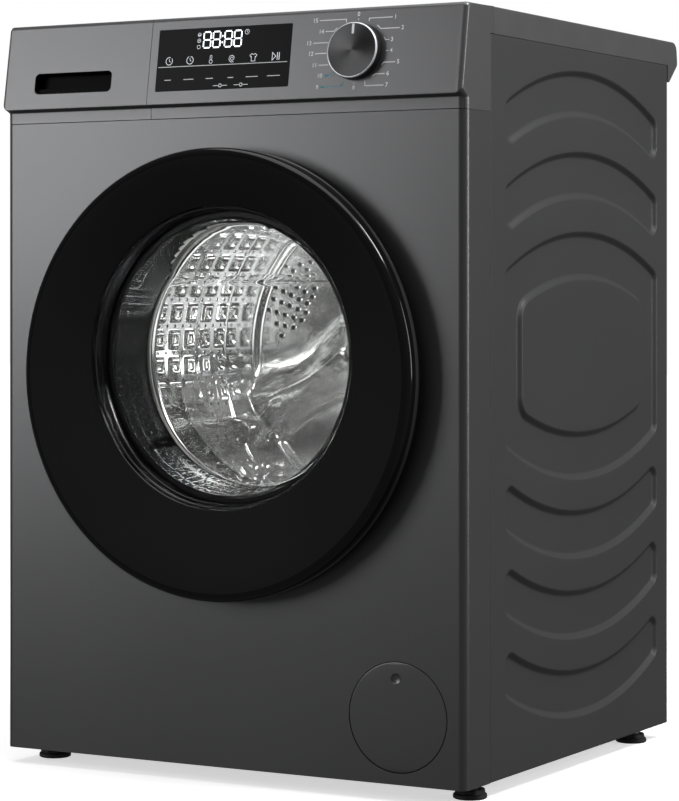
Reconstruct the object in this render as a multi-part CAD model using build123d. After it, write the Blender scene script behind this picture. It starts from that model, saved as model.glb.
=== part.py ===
from build123d import *
import math
import os

# Front loading washing machine, millimetres.
# Every piece is drawn with y = 0 on the outer face of the front panel, x = 0 in the
# middle and z = 0 on the floor. save() moves it to the frame whose origin is the
# middle of the footprint. The front faces -y.

# ---- driving dimensions ------------------------------------------------------
width = 595.0
height = 850.0
depth = 608.0
door_proud = 35.0
front_y = door_proud - depth / 2
half_w = width / 2
sheet = 1.0
gap = 0.3

# cabinet
cabinet_bottom = 18.0
panel_top = 736.5
side_top = 820.5
corner_r = 9.0
side_front = 58.0
side_rear = 542.0
flange_in = 8.0
top_front = 66.0
top_rear = depth - door_proud
tray_plate = cabinet_bottom + sheet + gap
tray_half = 287.0

# pressed bands of the side panels
band_front = 97.0
band_rear = 507.0
band_sag = 45.0
band_depth = 4.5
band_corner = 7.0
band_slope = 45.0
upper_bands = [(182.5, 229.5), (275.5, 321.5)]
lower_bands = [(179.5, 228.5), (270.5, 319.5), (360.5, 408.5)]
ring_apex = 138.5
island_front = 134.0
island_rear = 470.0
island_apex = 90.0
island_sag = 31.0
island_corner = 20.0

# control fascia
fascia_bottom = panel_top + gap
strip_top = 750.0
lip_z = 753.0
lip_proud = 10.0
face_back = 5.0
fascia_wall = 2.5
drawer_seam = -98.0
window_x = (-87.7, 84.7)
window_z = (767.2, 836.4)
pocket_x = (-253.8, -148.0)
pocket_z = (769.8, 793.7)
dial_x = 166.8
dial_z = 801.4
dial_r = 31.0
dial_proud = 10.6
dial_shaft_r = 3.0

# door
drum_z = 471.0
door_z = 453.0
door_r = 249.0
door_edge = 8.0
inner_r = 165.0
dish_depth = 20.0
dish_r = 241.0
collar_r = 158.0
collar_back = 5.0
ring_back = -9.0
frame_front = -8.5
frame_back = -2.0
frame_r = 246.0
boss_r = 184.0
opening_r = 190.0
bowl_r = 157.0
bowl_end_r = 149.0
bowl_depth = 73.0
glass = 4.0
hinge_x = -234.0
hinge_y = -19.0
hinge_pin_r = 3.0
knuckle_r = 6.2
arm_z = 25.0
latch_x = 213.0
latch_y = -5.2

# tub and drum
drum_r = 245.0
drum_front = 98.0
drum_rear = 400.0
drum_mouth = 158.0
drum_sheet = 1.2
tub_r = 268.0
tub_wall = 3.0
tub_front = 85.0
tub_split = 250.0
tub_rear = 437.0
neck_r = 176.0
shaft_r = 15.0
pulley_r = 145.0
pulley_front = 478.0
pulley_rear = 500.0
motor_z = 125.0
motor_r = 58.0
motor_pulley_r = 12.0
running_fit = 0.05
lifter_start = 64.5
lifter_half = 42.0
lifter_crest_half = 14.0
lifter_crest_r = 198.0
lifter_front = 135.0
lifter_rear = 385.0

# services
filter_x = 216.0
filter_z = 90.0
flap_r = 59.0
flap_sheet = 2.5
flap_skirt_r = 57.0
snap_reach = 59.6
snap_back = 12.0
dimple_ball_r = 10.0
dimple_depth = 1.9
foot_x = 272.0
foot_y = (60.0, 490.0)
foot_r = 18.5
stud_r = 5.0
spring_x = 240.0
spring_y = 385.0
spring_low = 622.0
spring_high = 792.0
damper_x = 180.0
damper_y = 290.0
sump_x = 80.0
sump_y = 150.0
spout_x = -200.0
spout_y = 200.0
outlet_x = 262.0
outlet_z = 110.0
inlet_x = -210.0
inlet_z = 783.0
inlet_r = 13.2


# ---- helpers -----------------------------------------------------------------
def block(x0, x1, y0, y1, z0, z1):
    return Pos((x0 + x1) / 2, (y0 + y1) / 2, (z0 + z1) / 2) * Box(x1 - x0, y1 - y0, z1 - z0)


def disc_y(r, y0, y1, x=0.0, z=drum_z):
    return Pos(x, (y0 + y1) / 2, z) * Rot(90, 0, 0) * Cylinder(r, y1 - y0)


def tube_y(outer, inner, y0, y1, x=0.0, z=drum_z):
    return disc_y(outer, y0, y1, x, z) - disc_y(inner, y0 - 1, y1 + 1, x, z)


def rod_z(r, z0, z1, x, y):
    return Pos(x, y, (z0 + z1) / 2) * Cylinder(r, z1 - z0)


def tube_z(outer, inner, z0, z1, x, y):
    return rod_z(outer, z0, z1, x, y) - rod_z(inner, z0 - 1, z1 + 1, x, y)


def circle_y(r, y, z=drum_z):
    return Pos(0, y, z) * Rot(90, 0, 0) * Circle(r)


def cone_y(r0, r1, y0, y1, z=drum_z):
    return loft([circle_y(r0, y0, z), circle_y(r1, y1, z)])


def outline(points):
    return make_face(Polyline(*points, close=True))


def ribbon(points, thickness):
    """A strip of even thickness along a bent line, as a face in the xy plane."""
    left = []
    right = []
    for i, point in enumerate(points):
        before = Vector(*points[max(i - 1, 0)])
        after = Vector(*points[min(i + 1, len(points) - 1)])
        here = Vector(*point)
        normals = []
        for a, b in ((before, here), (here, after)):
            if (b - a).length > 0:
                along = (b - a).normalized()
                normals.append(Vector(-along.Y, along.X))
        mean = sum(normals, Vector(0, 0)).normalized()
        reach = thickness / 2 / mean.dot(normals[0])
        left.append(tuple(here + mean * reach)[:2])
        right.append(tuple(here - mean * reach)[:2])
    return outline(left + right[::-1])


def turned(points_yr, thickness, z=drum_z):
    """A sheet turned about a y axis; points are (y, radius)."""
    strip = ribbon([(radius, y) for y, radius in points_yr], thickness)
    return Pos(0, 0, z) * revolve(strip, Axis.Y)


def around(count, radius, start=0.0, x=0.0, z=drum_z):
    """(x, z) places spread evenly round a circle."""
    places = []
    for i in range(count):
        angle = math.radians(start + 360.0 * i / count)
        places.append((x + radius * math.cos(angle), z + radius * math.sin(angle)))
    return places


def extrude_x(points_yz, x0, x1):
    return extrude(Plane.YZ.offset(x0) * outline(points_yz), x1 - x0)


def bellows_z(x, y, z0, z1, inner, outer, folds):
    """A ribbed hose standing on end."""
    step = (z1 - z0) / folds
    points = [(inner + 1.0, z0)]
    for i in range(folds):
        points.append((outer, z0 + step * (i + 0.5)))
        points.append((inner + 1.0, z0 + step * (i + 1)))
    strip = ribbon(points, 2.0)
    level = Plane.XZ * Rectangle(4 * outer, z1 - z0, align=(Align.MIN, Align.MIN))
    strip = Plane.XZ * strip & Pos(0, 0, z0) * level
    return Pos(x, y, 0) * revolve(strip, Axis.Z)


def save(name, shape):
    placed = Pos(0, front_y, 0) * shape
    placed.label = name
    export_step(placed, os.path.join("parts", name + ".step"))


# the sloping face of the control fascia: x across, y up the face, z outwards
face_rise = height - lip_z
face_run = lip_proud + face_back
face_length = math.hypot(face_run, face_rise)
face_plane = Plane(origin=(0, -lip_proud, lip_z), x_dir=(1, 0, 0), z_dir=(0, -face_rise, face_run))
dial_up = (dial_z - lip_z) * face_length / face_rise


def on_face(shape, out=0.0):
    return face_plane.offset(out) * shape


def up_face(z):
    return (z - lip_z) * face_length / face_rise


# ---- cabinet -----------------------------------------------------------------
def band_outline(y0, y1, low, low_apex, high, high_apex, corner):
    """Two side edges closed by two arcs; (y, z) of a pressed band."""
    middle = (y0 + y1) / 2
    edges = [
        Line((y0, low), (y0, high)),
        ThreePointArc((y0, high), (middle, high_apex), (y1, high)),
        Line((y1, high), (y1, low)),
        ThreePointArc((y1, low), (middle, low_apex), (y0, low)),
    ]
    face = make_face(edges)
    return fillet(face.vertices(), corner)


def pressing_outlines():
    faces = []
    for low, high in upper_bands:
        faces.append(
            band_outline(band_front, band_rear, drum_z + low - band_sag, drum_z + low,
                         drum_z + high - band_sag, drum_z + high, band_corner))
    for high, low in lower_bands:
        faces.append(
            band_outline(band_front, band_rear, drum_z - low + band_sag, drum_z - low,
                         drum_z - high + band_sag, drum_z - high, band_corner))
    faces.append(
        band_outline(band_front, band_rear, drum_z - ring_apex + band_sag, drum_z - ring_apex,
                     drum_z + ring_apex - band_sag, drum_z + ring_apex, band_corner))
    return faces


def side_panel():
    outer = Plane.YZ.offset(half_w)
    panel = block(half_w - sheet, half_w, side_front + gap, side_rear, cabinet_bottom, side_top)
    cuts = []
    for face in pressing_outlines():
        back = extrude(outer * offset(face, amount=0.6), -band_depth - sheet, taper=band_slope)
        panel += back
        cuts.append(extrude(outer * face, -band_depth, taper=band_slope))
    for cut in cuts:
        panel -= cut
    island = band_outline(island_front, island_rear, drum_z - island_apex + island_sag,
                          drum_z - island_apex, drum_z + island_apex - island_sag,
                          drum_z + island_apex, island_corner)
    lifted = offset(island, amount=band_depth)
    panel += extrude(outer.offset(-band_depth - sheet) * lifted, band_depth + sheet, taper=band_slope)
    hollow = offset(island, amount=band_depth - 0.6)
    panel -= extrude(outer.offset(-band_depth - sheet) * hollow, band_depth, taper=band_slope)
    wide = half_w - sheet
    panel += block(wide - flange_in, wide, side_front + gap, side_front + gap + sheet,
                   cabinet_bottom, side_top)
    panel += block(wide - 21, wide, side_rear - sheet, side_rear, cabinet_bottom, side_top)
    panel += block(wide - 14, wide, side_front + gap, side_rear, cabinet_bottom,
                   cabinet_bottom + sheet)
    panel += block(wide - 14, wide, side_front + gap, side_rear, side_top - sheet, side_top)
    panel += block(spring_x - 12, wide, spring_y - 14, spring_y + 14, 796, 799)
    panel -= rod_z(3, 790, 805, spring_x, spring_y)
    return panel


def front_panel():
    wall = 1.2
    outer = block(-half_w, half_w, 0, side_front, cabinet_bottom, panel_top)
    front_edges = outer.edges().filter_by(Axis.Z).sort_by(Axis.Y)[:2]
    outer = fillet(front_edges, corner_r)
    inner = block(-half_w + wall, half_w - wall, wall, side_front + 1, cabinet_bottom - 1,
                  panel_top + 1)
    front_edges = inner.edges().filter_by(Axis.Z).sort_by(Axis.Y)[:2]
    inner = fillet(front_edges, corner_r - wall)
    panel = outer - inner
    inside = half_w - wall
    for low in (cabinet_bottom, panel_top - wall):
        panel += block(-inside + 8, inside - 8, 0.5, 20, low, low + wall)
    for side in (-1, 1):
        near, far = sorted((side * (inside - 6), side * (inside + 0.5)))
        panel += block(near, far, side_front - wall, side_front, cabinet_bottom, panel_top)
    panel -= disc_y(opening_r, -1, 5)
    panel += tube_y(opening_r + wall, opening_r, 0, 14)
    panel -= disc_y(flap_r + 1, -1, 5, filter_x, filter_z)
    cup = tube_y(flap_r + 1 + wall, flap_r + 1, 0, 20, filter_x, filter_z)
    cup += tube_y(flap_r + 1.5, 34, 20 - wall, 20, filter_x, filter_z)
    panel += cup
    panel -= block(203, 224, -1, 5, door_z - 14, door_z + 14)
    return panel


def base_tray():
    top = tray_plate + 1.5
    tray = block(-tray_half, tray_half, 22, side_rear - 2, tray_plate, top)
    rim = block(-tray_half, tray_half, 22, side_rear - 2, tray_plate, 45)
    rim -= block(-tray_half + 1.5, tray_half - 1.5, 23.5, side_rear - 3.5, 0, 60)
    tray += rim
    kick = block(-172, 172, 53, 55, cabinet_bottom - 5, top)
    tray += kick
    for side in (-1, 1):
        for y in foot_y:
            tray -= rod_z(stud_r + 1, 0, 60, side * foot_x, y)
    tray -= block(-60, 60, 200, 380, 0, top + 1)
    return tray


def rear_panel():
    panel = block(-292, 292, side_rear, side_rear + sheet, cabinet_bottom + 1, side_top - 1.5)
    panel -= disc_y(170, side_rear - 1, side_rear + 3)
    panel -= disc_y(14, side_rear - 1, side_rear + 3, outlet_x, outlet_z)
    panel -= disc_y(9, side_rear - 1, side_rear + 3, -outlet_x, outlet_z)
    panel -= disc_y(inlet_r + 0.8, side_rear - 1, side_rear + 3, inlet_x, inlet_z)
    for x, z in transit_places():
        panel -= disc_y(14, side_rear - 1, side_rear + 3, x, z)
    return panel


def transit_places():
    return [(-205, 330), (205, 330), (-205, 610), (205, 610)]


def transit_plugs():
    plugs = []
    for x, z in transit_places():
        head = disc_y(19, side_rear + sheet, side_rear + 5, x, z)
        plugs.append(head + disc_y(13.5, side_rear - 8, side_rear + 3, x, z))
    return Compound(plugs)


def rear_access_cover():
    front = side_rear + sheet
    cover = disc_y(182, front, front + sheet)
    cover += tube_y(150, 144, front, front + 5)
    cover += tube_y(70, 66, front, front + 4)
    return cover


def worktop():
    low = side_top
    profile = [(top_front + gap, low), (top_front + gap, height), (top_rear, height),
               (top_rear, low + 1.5), (side_rear + 6, 800), (side_rear + 1.5, 800),
               (side_rear + 1.5, low)]
    top = extrude_x(profile, -half_w, half_w)
    rear_edge = top.edges().filter_by(Axis.X).sort_by(lambda e: e.center().Y + e.center().Z)[-1]
    top = fillet(rear_edge, 10)
    sides = top.edges().filter_by(Axis.Y).group_by(Axis.Z)[-1]
    top = fillet(sides, 3)
    top -= block(-290, 290, 75, 535, low - 1, 834)
    return top


def top_braces():
    braces = []
    for y in (80, 480):
        bar = block(-288, 288, y, y + 30, side_top, side_top + 11.5)
        braces.append(bar - block(-289, 289, y + 1.5, y + 28.5, side_top + 1.5, side_top + 20))
    return Compound(braces)


def fascia_profile(rear, inset=0.0):
    low = fascia_bottom if inset == 0 else fascia_bottom - 10
    top = height - inset
    lean = inset * face_run / face_rise
    if inset == 0:
        return [(0, low), (0, strip_top), (-lip_proud, lip_z), (face_back, top), (rear, top), (rear, low)]
    return [(inset, low), (inset, strip_top + 1), (-lip_proud + inset, lip_z + 1.5),
            (face_back + inset - lean, top), (rear, top), (rear, low)]


def rounded_top(shape):
    edge = shape.edges().filter_by(Axis.X).sort_by(lambda e: e.center().Z - e.center().Y)[-1]
    return fillet(edge, 5)


def rounded_end(shape, side):
    """Rounds the raised face's low corner and the strip's upright corner at one end."""
    near, far = sorted((side * (half_w - corner_r), side * (half_w + 1)))
    centre = side * (half_w - corner_r)
    low_corner = block(near, far, -20, 0, strip_top - 1, lip_z - 1 + corner_r)
    low_corner -= disc_y(corner_r, -21, 1, centre, lip_z - 1 + corner_r)
    upright = block(near, far, -1, corner_r, fascia_bottom - 1, strip_top)
    upright -= rod_z(corner_r, fascia_bottom - 2, strip_top + 1, centre, corner_r)
    return shape - low_corner - upright


def control_fascia():
    shell = extrude_x(fascia_profile(top_front), drawer_seam + gap, half_w)
    shell = rounded_top(shell)
    right = shell.edges().filter_by(lambda e: e.center().X > half_w - 0.1 and e.center().Y < 2
                                    and e.length > 90)
    shell = rounded_end(fillet(right, 5), 1)
    shell -= extrude_x(fascia_profile(top_front + 5, fascia_wall), drawer_seam - 5,
                       half_w - fascia_wall)
    shell -= block(half_w - 10, half_w + 1, side_front, top_front + 1, fascia_bottom - 1, side_top + gap)
    window = Rectangle(window_x[1] - window_x[0] + 0.4, up_face(window_z[1]) - up_face(window_z[0]) + 0.4)
    middle = ((window_x[0] + window_x[1]) / 2, (up_face(window_z[0]) + up_face(window_z[1])) / 2)
    shell -= extrude(on_face(Pos(*middle) * window, -1.3), 5)
    shell -= extrude(on_face(Pos(dial_x, dial_up) * Circle(dial_shaft_r + 1), -8), 16)
    plate = block(-half_w, drawer_seam + 1, 13, 15, fascia_bottom, height)
    plate += block(-half_w, drawer_seam + 1, 13, top_front, height - fascia_wall, height)
    wing = block(-half_w, -half_w + fascia_wall, 13, top_front, fascia_bottom, height)
    wing -= block(-half_w - 1, -half_w + 5, side_front, top_front + 1, 0, side_top + gap)
    plate += wing
    plate -= block(-286, -114, 10, 17, 744, 819)
    return shell + plate


def display_window():
    tall = up_face(window_z[1]) - up_face(window_z[0])
    middle = ((window_x[0] + window_x[1]) / 2, (up_face(window_z[0]) + up_face(window_z[1])) / 2)
    pane = RectangleRounded(window_x[1] - window_x[0], tall, 1.5)
    return extrude(on_face(Pos(*middle) * pane, -1.2), 1.4)


def display_board():
    board = extrude(on_face(Pos(50, 48) * Rectangle(290, 72), -15), 1.6)
    encoder = extrude(on_face(Pos(dial_x, dial_up) * Rectangle(16, 16), -13.4), 8)
    digits = extrude(on_face(Pos(-6, up_face(822)) * Rectangle(60, 26), -13.4), 9)
    board += encoder + digits
    board -= extrude(on_face(Pos(dial_x, dial_up) * Circle(dial_shaft_r + running_fit), -16), 16)
    return board


def dial_knob():
    knob = loft([circle_face(dial_r, 0.6), circle_face(dial_r - 0.5, dial_proud)])
    knob = fillet(knob.edges().filter_by(GeomType.CIRCLE).sort_by(Axis.Y)[:1], 0.8)
    shaft = extrude(on_face(Pos(dial_x, dial_up) * Circle(dial_shaft_r), -12), 14)
    return knob + shaft


def circle_face(radius, out):
    return on_face(Pos(dial_x, dial_up) * Circle(radius), out)


def control_board():
    box = block(125, 265, 80, 240, 765, 812)
    box -= block(127, 263, 82, 238, 767, 813)
    box += block(135, 255, 90, 230, 766, 772)
    box += block(150, 190, 110, 150, 772, 795)
    box += block(205, 240, 170, 215, 772, 790)
    return box


# ---- detergent drawer --------------------------------------------------------
def drawer_front():
    back = 12.5
    front = extrude_x(fascia_profile(back), -half_w, drawer_seam - gap)
    front = rounded_top(front)
    left = front.edges().filter_by(lambda e: e.center().X < -half_w + 0.1 and e.center().Y < 2
                                   and e.length > 90)
    front = rounded_end(fillet(left, 5), -1)
    hollow = extrude_x(fascia_profile(back + 5, fascia_wall), -half_w + fascia_wall,
                       drawer_seam - gap - fascia_wall)
    hollow &= block(-half_w, 0, -20, back + 5, fascia_bottom + fascia_wall, height)
    cup = block(pocket_x[0] - 2, pocket_x[1] + 2, -20, back, pocket_z[0] - 2, pocket_z[1] + 2)
    front -= hollow - cup
    recess = block(pocket_x[0], pocket_x[1], -20, back - 2, pocket_z[0], pocket_z[1])
    recess = fillet(recess.edges().filter_by(Axis.Y), 7)
    return front - recess


def drawer_tray():
    tray = block(-283.3, -116.7, 12.5, 290, 744.7, 802)
    tray -= block(-279, -192, 60, 284, 750, 803)
    tray -= block(-188, -121, 170, 284, 750, 803)
    tray -= block(-188, -121, 60, 164, 750, 803)
    tray -= block(-279, -121, 18, 56, 748, 803)
    return tray


def dispenser_box():
    box = block(-286, -114, 16, 320, 742, 818)
    box -= block(-284, -116, 10, 318, 744, 816)
    box += tube_z(21, 18, 728, 743, spout_x, spout_y)
    box -= rod_z(18, 720, 746, spout_x, spout_y)
    return box


# ---- door --------------------------------------------------------------------
def door_ring():
    ring = disc_y(door_r, -door_proud, ring_back, 0, door_z)
    front_edge = ring.edges().filter_by(GeomType.CIRCLE).sort_by(Axis.Y)[0]
    ring = fillet(front_edge, door_edge)
    dish_end = -door_proud + dish_depth
    dish = loft([circle_y(dish_r, -door_proud - 0.01, door_z), circle_y(inner_r, dish_end)])
    hollow = disc_y(door_r - 3.5, -door_proud + 4, ring_back + 1, 0, door_z)
    hollow -= Pos(0, 3.2, 0) * dish
    hollow -= disc_y(inner_r + 3, -door_proud, ring_back + 2)
    ring -= dish
    ring -= hollow
    ring += cone_y(inner_r + 3, collar_r + 3, dish_end, collar_back)
    ring -= disc_y(inner_r, -door_proud - 1, dish_end)
    ring -= cone_y(inner_r, collar_r, dish_end - 0.01, collar_back + 0.01)
    ring -= block(-255, -226, hinge_y - 8.5, ring_back + 1, door_z - 30, door_z + 30)
    return ring


def door_frame():
    frame = disc_y(frame_r, frame_front, -5, 0, door_z)
    frame += loft([circle_y(frame_r, -5, door_z), circle_y(frame_r - 5, frame_back, door_z)])
    frame += disc_y(boss_r, -3, 13)
    frame -= disc_y(172.6, -20, 10.3)
    frame -= disc_y(159, -20, 20)
    frame -= block(-255, -187, -20, 0, door_z - 40, door_z + 40)
    frame -= block(204, 222, -20, 0, door_z - 11, door_z + 11)
    pin = rod_z(2 + running_fit, door_z - 16, door_z + 16, latch_x, latch_y)
    return frame - pin


def bowl_solid(inset):
    """The bowl's outside, or its inside when inset is the glass thickness."""
    solid = cone_y(bowl_r - inset, bowl_end_r - inset, 6 - inset, bowl_depth - inset)
    crease = 558.0
    top = drum_z + bowl_r
    wedge = extrude_x([(22 - inset, top + 3), (bowl_depth + 5 - inset, crease - inset - 9),
                       (bowl_depth + 5, top + 40), (22, top + 40)], -200, 200)
    return solid - wedge


def door_glass():
    bowl = bowl_solid(0)
    bowl -= bowl_solid(glass)
    return bowl + tube_y(172, bowl_r - 2, 6, 10)


def door_hinge_leaf():
    leaf = rod_z(knuckle_r, door_z - 20, door_z + 20, hinge_x, hinge_y)
    leaf += block(hinge_x, hinge_x + 24, hinge_y - 1.5, hinge_y + 1.5, door_z - 20, door_z + 20)
    leaf += block(hinge_x + 22, hinge_x + 34, hinge_y - 1.5, hinge_y + 1.5, door_z - 62, door_z + 62)
    for side in (-1, 1):
        low, high = sorted((side * 46, side * 62))
        leaf += block(hinge_x + 22, hinge_x + 34, hinge_y, frame_front, door_z + low, door_z + high)
    return leaf - rod_z(hinge_pin_r + running_fit, door_z - 30, door_z + 30, hinge_x, hinge_y)


def door_hinge_bracket():
    plate = block(hinge_x + 12, hinge_x + 44, -3, 0, door_z - 36, door_z + 36)
    outer = Pos(hinge_x + 34, -2) * Rectangle(20, 4)
    arm = make_hull([*(Pos(hinge_x, hinge_y) * Circle(6.5)).edges(), *outer.edges()])
    for side in (-1, 1):
        plate += Pos(0, 0, door_z + side * arm_z - 2) * extrude(arm, 4)
    return plate - rod_z(hinge_pin_r + 0.02, door_z - 40, door_z + 40, hinge_x, hinge_y)


def door_hinge_pin():
    pin = rod_z(hinge_pin_r, door_z - 30, door_z + 29, hinge_x, hinge_y)
    return pin + rod_z(5, door_z + 27.2, door_z + 29, hinge_x, hinge_y)


def door_latch_hook():
    hook = block(latch_x - 3, latch_x + 3, latch_y - 3, 30, door_z - 8, door_z + 8)
    hook += block(latch_x - 7, latch_x + 3, 22, 30, door_z - 8, door_z + 8)
    return hook + rod_z(2, door_z - 15, door_z + 15, latch_x, latch_y)


def door_lock():
    body = block(196, 242, 1.3, 40, door_z - 38, door_z + 38)
    return body - block(202, 226, -1, 37, door_z - 13, door_z + 13)


def door_gasket():
    points = [(84, 178.2), (70, 178.2), (60, 184), (46, 184), (38, 175), (30, 170), (20, 170), (19.5, 184)]
    return turned(points, 3.0)


# ---- tub ---------------------------------------------------------------------
def tub_front_shell():
    shell = tube_y(tub_r, tub_r - tub_wall, tub_front, tub_split)
    shell += tube_y(tub_r, neck_r, tub_front, tub_front + tub_wall)
    shell += tube_y(neck_r, neck_r - tub_wall, 72, tub_front + tub_wall)
    shell += tube_y(tub_r + 8, tub_r - 1, tub_split - 6, tub_split)
    core = disc_y(tub_r - 1, tub_front + 1, tub_split)
    shell += tube_z(23, 20, 195, 230, sump_x, sump_y) - core
    shell -= rod_z(20, 190, 240, sump_x, sump_y)
    shell += tube_z(21, 18, 600, 684, spout_x, spout_y) - core
    shell -= rod_z(18, 600, 690, spout_x, spout_y)
    return shell


def tub_rear_shell():
    start = tub_split + gap
    shell = tube_y(tub_r, tub_r - tub_wall, start, tub_rear)
    shell += disc_y(tub_r, tub_rear - 4, tub_rear)
    shell += tube_y(tub_r + 8, tub_r - 1, start, start + 6)
    shell += disc_y(42, tub_rear - 5, 470)
    shell -= disc_y(30, 420, 480)
    for x, z in around(12, 150):
        rib = block(-110, 110, tub_rear - 1, tub_rear + 14, -2, 2)
        angle = math.degrees(math.atan2(z - drum_z, x))
        shell += Pos(x, 0, z) * Rot(0, -angle, 0) * rib
    core = disc_y(tub_r - 1, start + 1, tub_rear - 1)
    for side in (-1, 1):
        x = side * spring_x
        lug = block(x - 11, x + 11, spring_y - 7, spring_y + 7, 560, 618)
        lug -= disc_y(4, spring_y - 9, spring_y + 9, x, 606)
        shell += lug - core
        x = side * damper_x
        shell += block(x - 10, x + 10, damper_y - 8, damper_y + 8, 262, 300) - core
    return shell - block(-40, 40, 420, 445, 205, 227)


def tub_screws():
    screws = []
    for x, z in around(14, tub_r + 4, 13):
        screws.append(disc_y(3.5, tub_split + gap + 6, tub_split + 11, x, z))
    return Compound(screws)


def front_counterweight():
    ring = tube_y(262, 192, 62, tub_front - 0.2)
    ring -= block(-300, 300, 60, 90, drum_z - 5, drum_z + 5)
    for x, z in around(6, 228, 30):
        ring -= disc_y(7, 60, 74, x, z)
    return ring


def top_counterweight():
    weight = block(-60, 100, 150, 300, 700, 785)
    weight = fillet(weight.edges().filter_by(Axis.Z), 12)
    return weight - disc_y(tub_r + 8.3, 140, 310)


def drum_bearings():
    rear = tube_y(30, shaft_r + running_fit, 455, 468)
    front = tube_y(30, shaft_r + running_fit, 438, 451)
    seal = tube_y(30, shaft_r + running_fit, 432.5, 436)
    return Compound([rear, front, seal])


def heater():
    y_out = tub_rear - 2
    path = FilletPolyline((-28, y_out, 216), (-28, 150, 216), (28, 150, 216), (28, y_out, 216), radius=24)
    section = Plane(origin=(-28, y_out, 216), z_dir=(0, -1, 0)) * Circle(4)
    loop = sweep(section, path)
    plate = block(-39.5, 39.5, tub_rear - 4, tub_rear + 4, 208.5, 226.5)
    for x in (-28, 28):
        plate += block(x - 3, x + 3, tub_rear + 3, tub_rear + 14, 215, 217)
    return loop + plate


def motor_housing():
    body = disc_y(motor_r, 330, 445, 0, motor_z)
    body += disc_y(30, 440, 455, 0, motor_z)
    for y in range(345, 440, 14):
        body += tube_y(motor_r + 3, motor_r - 1, y, y + 5, 0, motor_z)
    for x in (-44, 44):
        lug = block(x - 8, x + 8, 345, 430, 150, 230)
        body += lug - disc_y(tub_r + 0.1, 300, 460)
    body -= disc_y(6 + running_fit, 425, 460, 0, motor_z)
    return body


def motor_pulley():
    shaft = disc_y(6, 426, 502, 0, motor_z)
    return shaft + disc_y(motor_pulley_r, pulley_front + 1, pulley_rear - 1, 0, motor_z)


def drive_belt():
    def loop(grow):
        big = Pos(0, drum_z) * Circle(pulley_r + grow)
        small = Pos(0, motor_z) * Circle(motor_pulley_r + grow)
        return make_hull([*big.edges(), *small.edges()])
    band = loop(gap + 3) - loop(gap)
    return Pos(0, pulley_front + 18, 0) * Rot(90, 0, 0) * extrude(band, 14)


def damper_rods():
    rods = []
    for side in (-1, 1):
        rod = rod_z(5, 112, 262, side * damper_x, damper_y)
        rods.append(rod + rod_z(13.5, 108, 118, side * damper_x, damper_y))
    return Compound(rods)


def damper_cylinders():
    tubes = []
    for side in (-1, 1):
        x = side * damper_x
        body = rod_z(17, tray_plate + 1.5, 175, x, damper_y)
        body -= rod_z(14, 34, 172, x, damper_y)
        tubes.append(body - rod_z(5.5, 160, 180, x, damper_y))
    return Compound(tubes)


def suspension_springs():
    springs = []
    path = Helix(pitch=8, height=spring_high - spring_low - 30, radius=13)
    wire = sweep(Plane(path @ 0, z_dir=path % 0) * Circle(1.8), path=path, is_frenet=True)
    low = spring_low + 15
    high = spring_high - 15
    wire = Pos(0, 0, low) * wire
    wire += Pos(6.5, 0, low) * Rot(0, 90, 0) * Cylinder(1.8, 13)
    wire += Pos(6.5, 0, high) * Rot(0, 90, 0) * Cylinder(1.8, 13)
    wire += rod_z(1.8, 618, low, 0, 0)
    wire += rod_z(1.8, high, 803, 0, 0)
    wire += Pos(0, 0, 802) * Rot(0, 90, 0) * Cylinder(1.8, 14)
    for side in (-1, 1):
        springs.append(Pos(side * spring_x, spring_y, 0) * wire)
    return Compound(springs)


# ---- drum --------------------------------------------------------------------
def drum_shell():
    mid = drum_r - drum_sheet / 2
    points = [(drum_rear - 0.6, mid), (122, mid), (108, mid - 6), (drum_front + 1, mid - 20),
              (drum_front + 1, drum_mouth + 6), (drum_front + 5, drum_mouth + 0.8)]
    return turned(points, drum_sheet)


def drum_back():
    back = disc_y(drum_r, drum_rear, drum_rear + 1.4)
    back += disc_y(60, drum_rear - 6, drum_rear + 1)
    return fillet(back.edges().filter_by(GeomType.CIRCLE).sort_by(Axis.Y)[:1], 4)


def drum_lifters():
    lifters = []
    section = outline([(-lifter_half, -drum_r), (-lifter_crest_half, -lifter_crest_r),
                       (lifter_crest_half, -lifter_crest_r), (lifter_half, -drum_r)])
    section = fillet(section.vertices().sort_by(Axis.Y)[-2:], 10)
    bar = Pos(0, lifter_rear, 0) * Rot(90, 0, 0) * extrude(section, lifter_rear - lifter_front)
    for cut_y, tilt in ((lifter_front + 15, 35), (lifter_rear - 15, -35)):
        wedge = Pos(0, cut_y, -190) * Rot(tilt, 0, 0) * Box(200, 60, 120)
        bar -= Pos(0, -30 if tilt > 0 else 30, 0) * wedge
    bar &= disc_y(drum_r - drum_sheet - 0.1, 100, drum_rear - 1, 0, 0)
    for i in range(3):
        lifters.append(Pos(0, 0, drum_z) * Rot(0, lifter_start + 120 * i, 0) * bar)
    return Compound(lifters)


def drum_spider():
    spider = disc_y(34, drum_rear + 1.6, 428)
    for i in range(3):
        arm = block(-15, 15, drum_rear + 6, 424, 0, 225) + block(-22, 22, drum_rear + 1.6, 424, 208, 238)
        spider += Pos(0, 0, drum_z) * Rot(0, 120 * i + 30, 0) * arm
    return spider - disc_y(shaft_r + 0.02, 380, 440)


def drum_shaft():
    return disc_y(shaft_r, drum_rear + 2, pulley_rear + 4)


def drum_pulley():
    pulley = tube_y(pulley_r, pulley_r - 10, pulley_front, pulley_rear)
    pulley += disc_y(34, pulley_front, pulley_rear)
    for i in range(6):
        spoke = block(-9, 9, pulley_front + 4, pulley_rear - 4, 25, pulley_r - 6)
        pulley += Pos(0, 0, drum_z) * Rot(0, 60 * i, 0) * spoke
    return pulley - disc_y(shaft_r + 0.02, 470, 510)


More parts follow.
